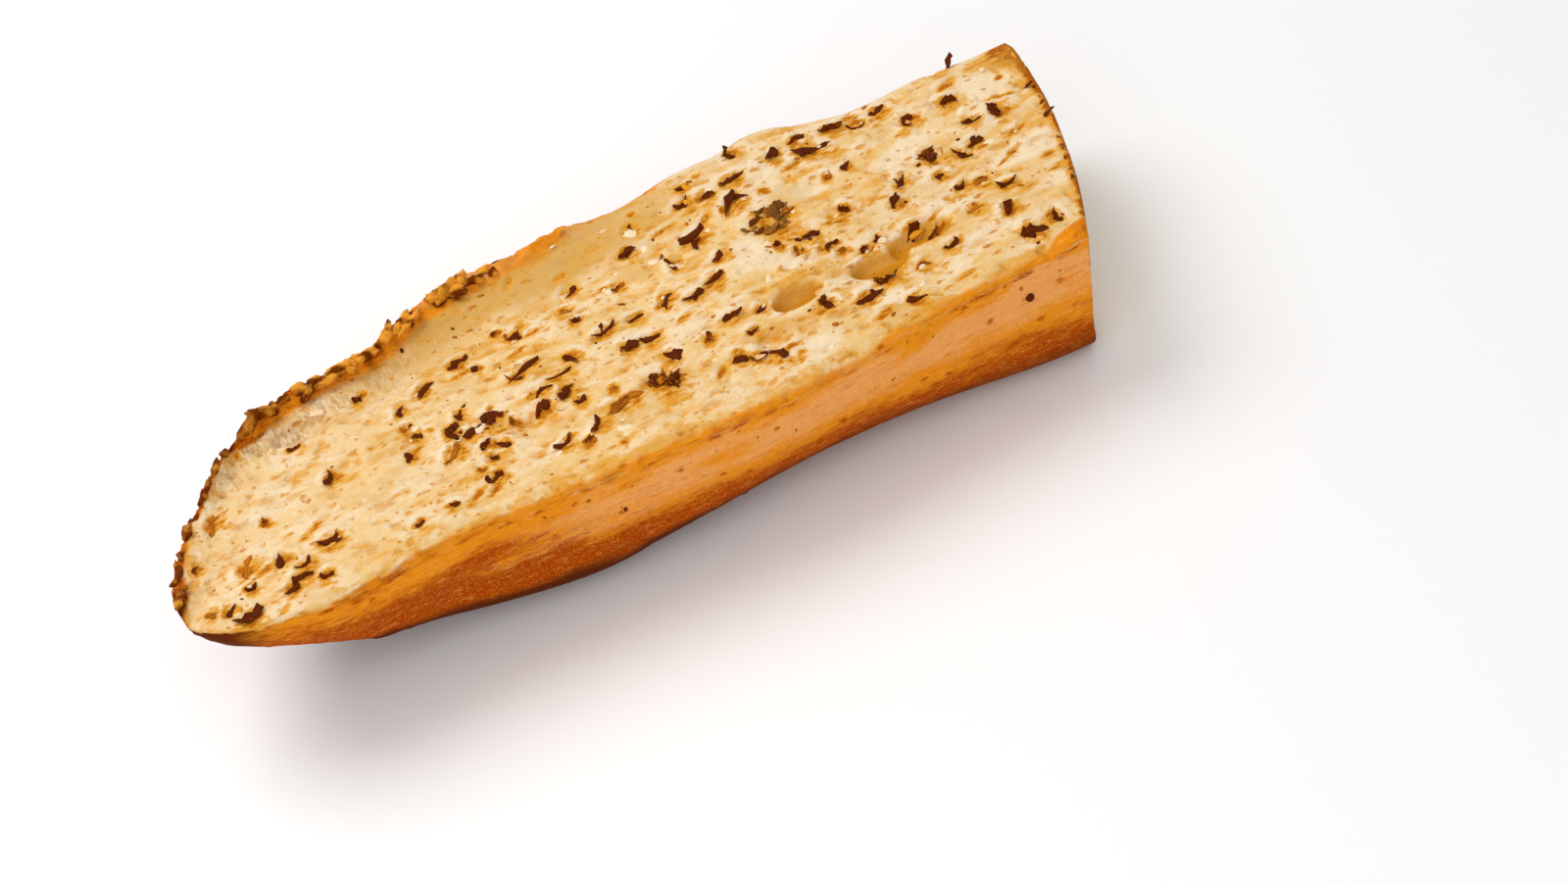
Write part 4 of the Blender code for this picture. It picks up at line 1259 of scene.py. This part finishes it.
def strewn(surface, draw, number, pull, spread):
    """Frames on the cut face; by this chance each is drawn to a flake."""
    made = 0
    while made < number:
        if draw.random() < pull:
            home, long, _ = draw.choice(herb_places())
            x = home.translation.x + draw.gauss(0, 0.3 * long + 0.3 * spread)
            y = home.translation.y + draw.gauss(0, spread / 2)
        else:
            spot = bread_point(draw.uniform(-0.97, 0.97), draw.uniform(-0.93, 0.92), 0) + loaf_shift()
            x, y = spot.x, spot.y
        height = surface_height(surface, x, y)
        if height is not None and draw.random() < step(x, -90 * MM, -20 * MM) + 0.15:
            made += 1
            yield Matrix.Translation((x, y, height))


def strew_bits(bm, layer, number, seed, pull, spread, sizes, detail, squash, tones, sink):
    """Strews small lumps over the cut face."""
    draw = random.Random(seed)
    for matrix in strewn(bread_surface(), draw, number, pull, spread):
        size = mix(*sizes, draw.random() ** 2)
        sunk = matrix @ Matrix.Translation((0, 0, -sink * size))
        add_bit(bm, draw, sunk, size, detail, squash, layer, draw.uniform(*tones))


class BREAD_OT_herb_specks(bpy.types.Operator):
    """Strews the small bits of herb over the cut face"""

    bl_idname = "garlic_bread.herb_specks"
    bl_label = "Herb Specks"

    def execute(self, context):
        bm, layers = leaf_mesh()
        strew_bits(bm, layers["char"], context.scene.garlic_bread_herbs.specks, *SPECKS)
        add_piece("herb_specks", finish_mesh(bm, "herb_specks"), herb_material())
        return {"FINISHED"}


class BREAD_OT_garlic_bits(bpy.types.Operator):
    """Strews minced garlic among the herbs"""

    bl_idname = "garlic_bread.garlic_bits"
    bl_label = "Garlic Bits"

    def execute(self, context):
        garlic = context.scene.garlic_bread_garlic
        bm = bmesh.new()
        strew_bits(bm, bm.verts.layers.float.new("toast"), garlic.bits, *GARLIC)
        material = toasted_material("Minced garlic", garlic.pale, garlic.toasted, 0.7)
        add_piece("garlic_bits", finish_mesh(bm, "garlic_bits"), material)
        return {"FINISHED"}


class BREAD_OT_crumb_tufts(bpy.types.Operator):
    """Adds the small pale tufts of torn crumb that stand up round the flakes and by the rim"""

    bl_idname = "garlic_bread.crumb_tufts"
    bl_label = "Crumb Tufts"

    def execute(self, context):
        crumb = context.scene.garlic_bread_crumb
        bm = bmesh.new()
        toast = bm.verts.layers.float.new("toast")
        strew_bits(bm, toast, context.scene.garlic_bread_garlic.tufts, *TUFTS)
        material = toasted_material("Torn crumb", crumb.pale, crumb.golden, 0.5)
        add_piece("crumb_tufts", finish_mesh(bm, "crumb_tufts"), material)
        return {"FINISHED"}


def add_crag(bm, draw, matrix, size):
    """One lump of broken crust: a stretched, knobbly and half sunken ball."""
    verts = bmesh.ops.create_icosphere(bm, subdivisions=3, radius=1.0)["verts"]
    seed = Vector((draw.uniform(0, 50), 0, 0))
    for vert in verts:
        vert.co *= 1 + 0.4 * noise.noise(1.5 * vert.co + seed) + 0.22 * noise.noise(3.6 * vert.co + seed)
    stretch = Matrix.Diagonal((size[0] / 2, size[1] / 2, size[2], 1))
    bmesh.ops.transform(bm, matrix=matrix @ stretch, verts=verts)


def rim_frame(share, depth):
    """A place on the rim: share runs from the far side (0) past the turn (1) to the tip (1.5)."""
    out = 1 - (1 - depth) * mix(1.0, 0.35, step(share, 0.8, 1.0))
    return face_frame(-out * min(share, 1.0), out * (1 - 2 * max(0.0, share - 1)))


class BREAD_OT_rim_crags(bpy.types.Operator):
    """Breaks the toasted rim into knobbly crags of crust"""

    bl_idname = "garlic_bread.rim_crags"
    bl_label = "Rim Crags"

    def execute(self, context):
        draw = random.Random(CRAG_SEED + 1)
        bm = bmesh.new()
        for matrix, long, wide, proud in crag_places():
            tilt = Matrix.Rotation(draw.gauss(0, 0.25), 4, "X") @ Matrix.Rotation(draw.gauss(0, 0.15), 4, "Y")
            add_crag(bm, draw, matrix @ tilt, (1.15 * long, 0.8 * wide, proud))
        for _ in range(RIM_KNOBS):
            share = draw.uniform(0.0, 1.5)
            matrix = rim_frame(share, draw.uniform(0.93, 0.985))
            turn = Matrix.Rotation(draw.gauss(0.1 + max(0.0, share - 0.75), 0.3), 4, "Z")
            broad = mix(1.4, 1.0, step(share, 0.4, 0.8))
            size = [draw.uniform(*span) for span in KNOB_SIZES]
            add_crag(bm, draw, matrix @ turn, (size[0], broad * size[1], size[2]))
        for _ in range(CUT_KNOBS):
            matrix = face_frame(0.99, draw.uniform(-0.85, 0.98))
            matrix @= Matrix.Rotation(draw.gauss(1.3, 0.3), 4, "Z")
            size = (draw.uniform(0.8 * MM, 3.2 * MM), draw.uniform(0.5 * MM, 1.1 * MM), 0.5 * MM)
            add_crag(bm, draw, matrix, size)
        toast = bm.verts.layers.float.new("toast")
        for vert in bm.verts:
            dark = wave(vert.co.x, vert.co.y, 3.4, 1.7, 91.0)
            heel = step(-vert.co.x, 50 * MM, 75 * MM)
            above = (vert.co.z - RIM_TOP) / MM
            vert[toast] = 0.25 + 0.5 * heel + mix(1.7, 0.6, heel) * dark - 0.09 * above
        bmesh.ops.recalc_face_normals(bm, faces=bm.faces[:])
        tones = [display(*tone) for tone in CRAG_TONES]
        material = toasted_material("Broken crust", *tones, 0.5)
        add_piece("rim_crags", finish_mesh(bm, "rim_crags"), material)
        return {"FINISHED"}


class BREAD_OT_burnt_seed(bpy.types.Operator):
    """Bakes the one round seed and the small browned crumbs onto the near crust"""

    bl_idname = "garlic_bread.burnt_seed"
    bl_label = "Burnt Seed"

    def execute(self, context):
        draw = random.Random(CRUMB_SEED)
        bm, layers = leaf_mesh()
        seed = detailed_point(*SEED_SPOT) + loaf_shift()
        verts = bmesh.ops.create_icosphere(bm, subdivisions=3, radius=SEED_RADIUS)["verts"]
        for vert in verts:
            vert.co *= 1 + 0.08 * noise.noise(vert.co / (0.5 * MM))
            vert[layers["char"]] = 1.2
        bmesh.ops.translate(bm, vec=seed, verts=verts)
        for _ in range(context.scene.garlic_bread_crust.crumbs):
            u, w = draw.uniform(-0.5, 0.97), 0.03 + 0.35 * draw.random() ** 2
            spot = Matrix.Translation(detailed_point(u, -1.0, w) + loaf_shift())
            size = mix(0.4 * MM, 1.3 * MM, draw.random() ** 2)
            upright = spot @ Matrix.Rotation(math.pi / 2, 4, "X")
            add_bit(bm, draw, upright, size, 2, 0.4, layers["char"], draw.uniform(-0.5, 0.4))
        add_piece("burnt_seed", finish_mesh(bm, "burnt_seed"), herb_material())
        return {"FINISHED"}


# The camera: where it looks on the plane of the cut face, and from where.
AIM = Vector((12.0 * MM, -51.8 * MM, 36.0 * MM))
CAMERA_DISTANCE = 793.3 * MM
CAMERA_AZIMUTH = math.radians(-18.0)
CAMERA_ELEVATION = math.radians(44.0)
CAMERA_ROLL = math.radians(-13.2)
CAMERA_LENS = 90.0
CAMERA_SENSOR = 36.0


def aim_matrix(target, azimuth, elevation, distance, roll=0.0):
    """Where something stands that looks at the target from this side and height."""
    turn = Matrix.Rotation(azimuth, 4, "Z") @ Matrix.Rotation(math.pi / 2 - elevation, 4, "X")
    back = Matrix.Translation((0, 0, distance))
    return Matrix.Translation(target) @ turn @ back @ Matrix.Rotation(roll, 4, "Z")


def add_soft_light(name, azimuth, elevation, power, size):
    light = bpy.data.lights.new(name, "AREA")
    light.shape = "DISK"
    light.size = size
    light.energy = power
    lamp = bpy.data.objects.new(name, light)
    bpy.context.scene.collection.objects.link(lamp)
    centre = Vector((0, 0, 30 * MM))
    lamp.matrix_world = aim_matrix(centre, math.radians(azimuth), math.radians(elevation), 0.9)


class BREAD_OT_stage(bpy.types.Operator):
    """Sets the plain floor, the soft lights and the camera"""

    bl_idname = "garlic_bread.stage"
    bl_label = "Stage"

    def execute(self, context):
        scene = context.scene
        settings = scene.garlic_bread_stage
        bm = bmesh.new()
        bmesh.ops.create_grid(bm, x_segments=1, y_segments=1, size=6.0)
        bmesh.ops.translate(bm, vec=(0, 0, cad_box[0].z), verts=bm.verts)
        floor = bpy.data.objects.new("floor", finish_mesh(bm, "floor"))
        scene.collection.objects.link(floor)
        material, nodes = new_material("Floor")
        nodes.feed(nodes.shader.inputs["Base Color"], tuple(settings.floor))
        nodes.shader.inputs["Roughness"].default_value = 0.6
        floor.data.materials.append(material)
        floor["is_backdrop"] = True

        world = bpy.data.worlds.new("Soft sky")
        world.use_nodes = True
        world.node_tree.nodes["Background"].inputs["Color"].default_value = (1.0, 1.0, 1.0, 1.0)
        world.node_tree.nodes["Background"].inputs["Strength"].default_value = settings.sky
        scene.world = world
        add_soft_light("key light", 215, 55, settings.key, 0.7)
        add_soft_light("fill light", -25, 40, settings.fill, 0.9)

        lens = bpy.data.cameras.new("camera")
        lens.lens = CAMERA_LENS
        lens.sensor_width = CAMERA_SENSOR
        lens.clip_start = 10 * MM
        camera = bpy.data.objects.new("camera", lens)
        scene.collection.objects.link(camera)
        camera.matrix_world = aim_matrix(AIM, CAMERA_AZIMUTH, CAMERA_ELEVATION, CAMERA_DISTANCE, CAMERA_ROLL)
        scene.camera = camera
        scene.view_settings.view_transform = "Standard"
        return {"FINISHED"}


class BREAD_PT_sidebar(bpy.types.Panel):
    bl_label = "Garlic Bread"
    bl_idname = "BREAD_PT_sidebar"
    bl_space_type = "VIEW_3D"
    bl_region_type = "UI"
    bl_category = "Garlic Bread"

    def draw(self, context):
        for name in SETTINGS:
            box = self.layout.box()
            group = getattr(context.scene, name)
            for key in group.__annotations__:
                box.prop(group, key)
        for operator in OPERATORS:
            self.layout.operator(operator.bl_idname)


SETTINGS = {
    "garlic_bread_crumb": CrumbSettings,
    "garlic_bread_crust": CrustSettings,
    "garlic_bread_herbs": HerbSettings,
    "garlic_bread_garlic": GarlicSettings,
    "garlic_bread_stage": StageSettings,
}
OPERATORS = (
    BREAD_OT_half_loaf,
    BREAD_OT_herb_flakes,
    BREAD_OT_herb_specks,
    BREAD_OT_garlic_bits,
    BREAD_OT_crumb_tufts,
    BREAD_OT_rim_crags,
    BREAD_OT_burnt_seed,
    BREAD_OT_stage,
)


def register():
    for kind in (*SETTINGS.values(), *OPERATORS, BREAD_PT_sidebar):
        bpy.utils.register_class(kind)
    for name, kind in SETTINGS.items():
        setattr(bpy.types.Scene, name, bpy.props.PointerProperty(type=kind))


def unregister():
    for name in SETTINGS:
        delattr(bpy.types.Scene, name)
    for kind in (BREAD_PT_sidebar, *reversed(OPERATORS), *reversed(SETTINGS.values())):
        bpy.utils.unregister_class(kind)


def main():
    register()
    bpy.ops.garlic_bread.half_loaf()
    bpy.ops.garlic_bread.herb_flakes()
    bpy.ops.garlic_bread.herb_specks()
    bpy.ops.garlic_bread.garlic_bits()
    bpy.ops.garlic_bread.crumb_tufts()
    bpy.ops.garlic_bread.rim_crags()
    bpy.ops.garlic_bread.burnt_seed()
    bpy.ops.garlic_bread.stage()
    boxes = {"cad": cad_box, "visual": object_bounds()}
    {name: [list(corner) for corner in box] for name, box in boxes.items()}


if __name__ == "__main__":
    main()
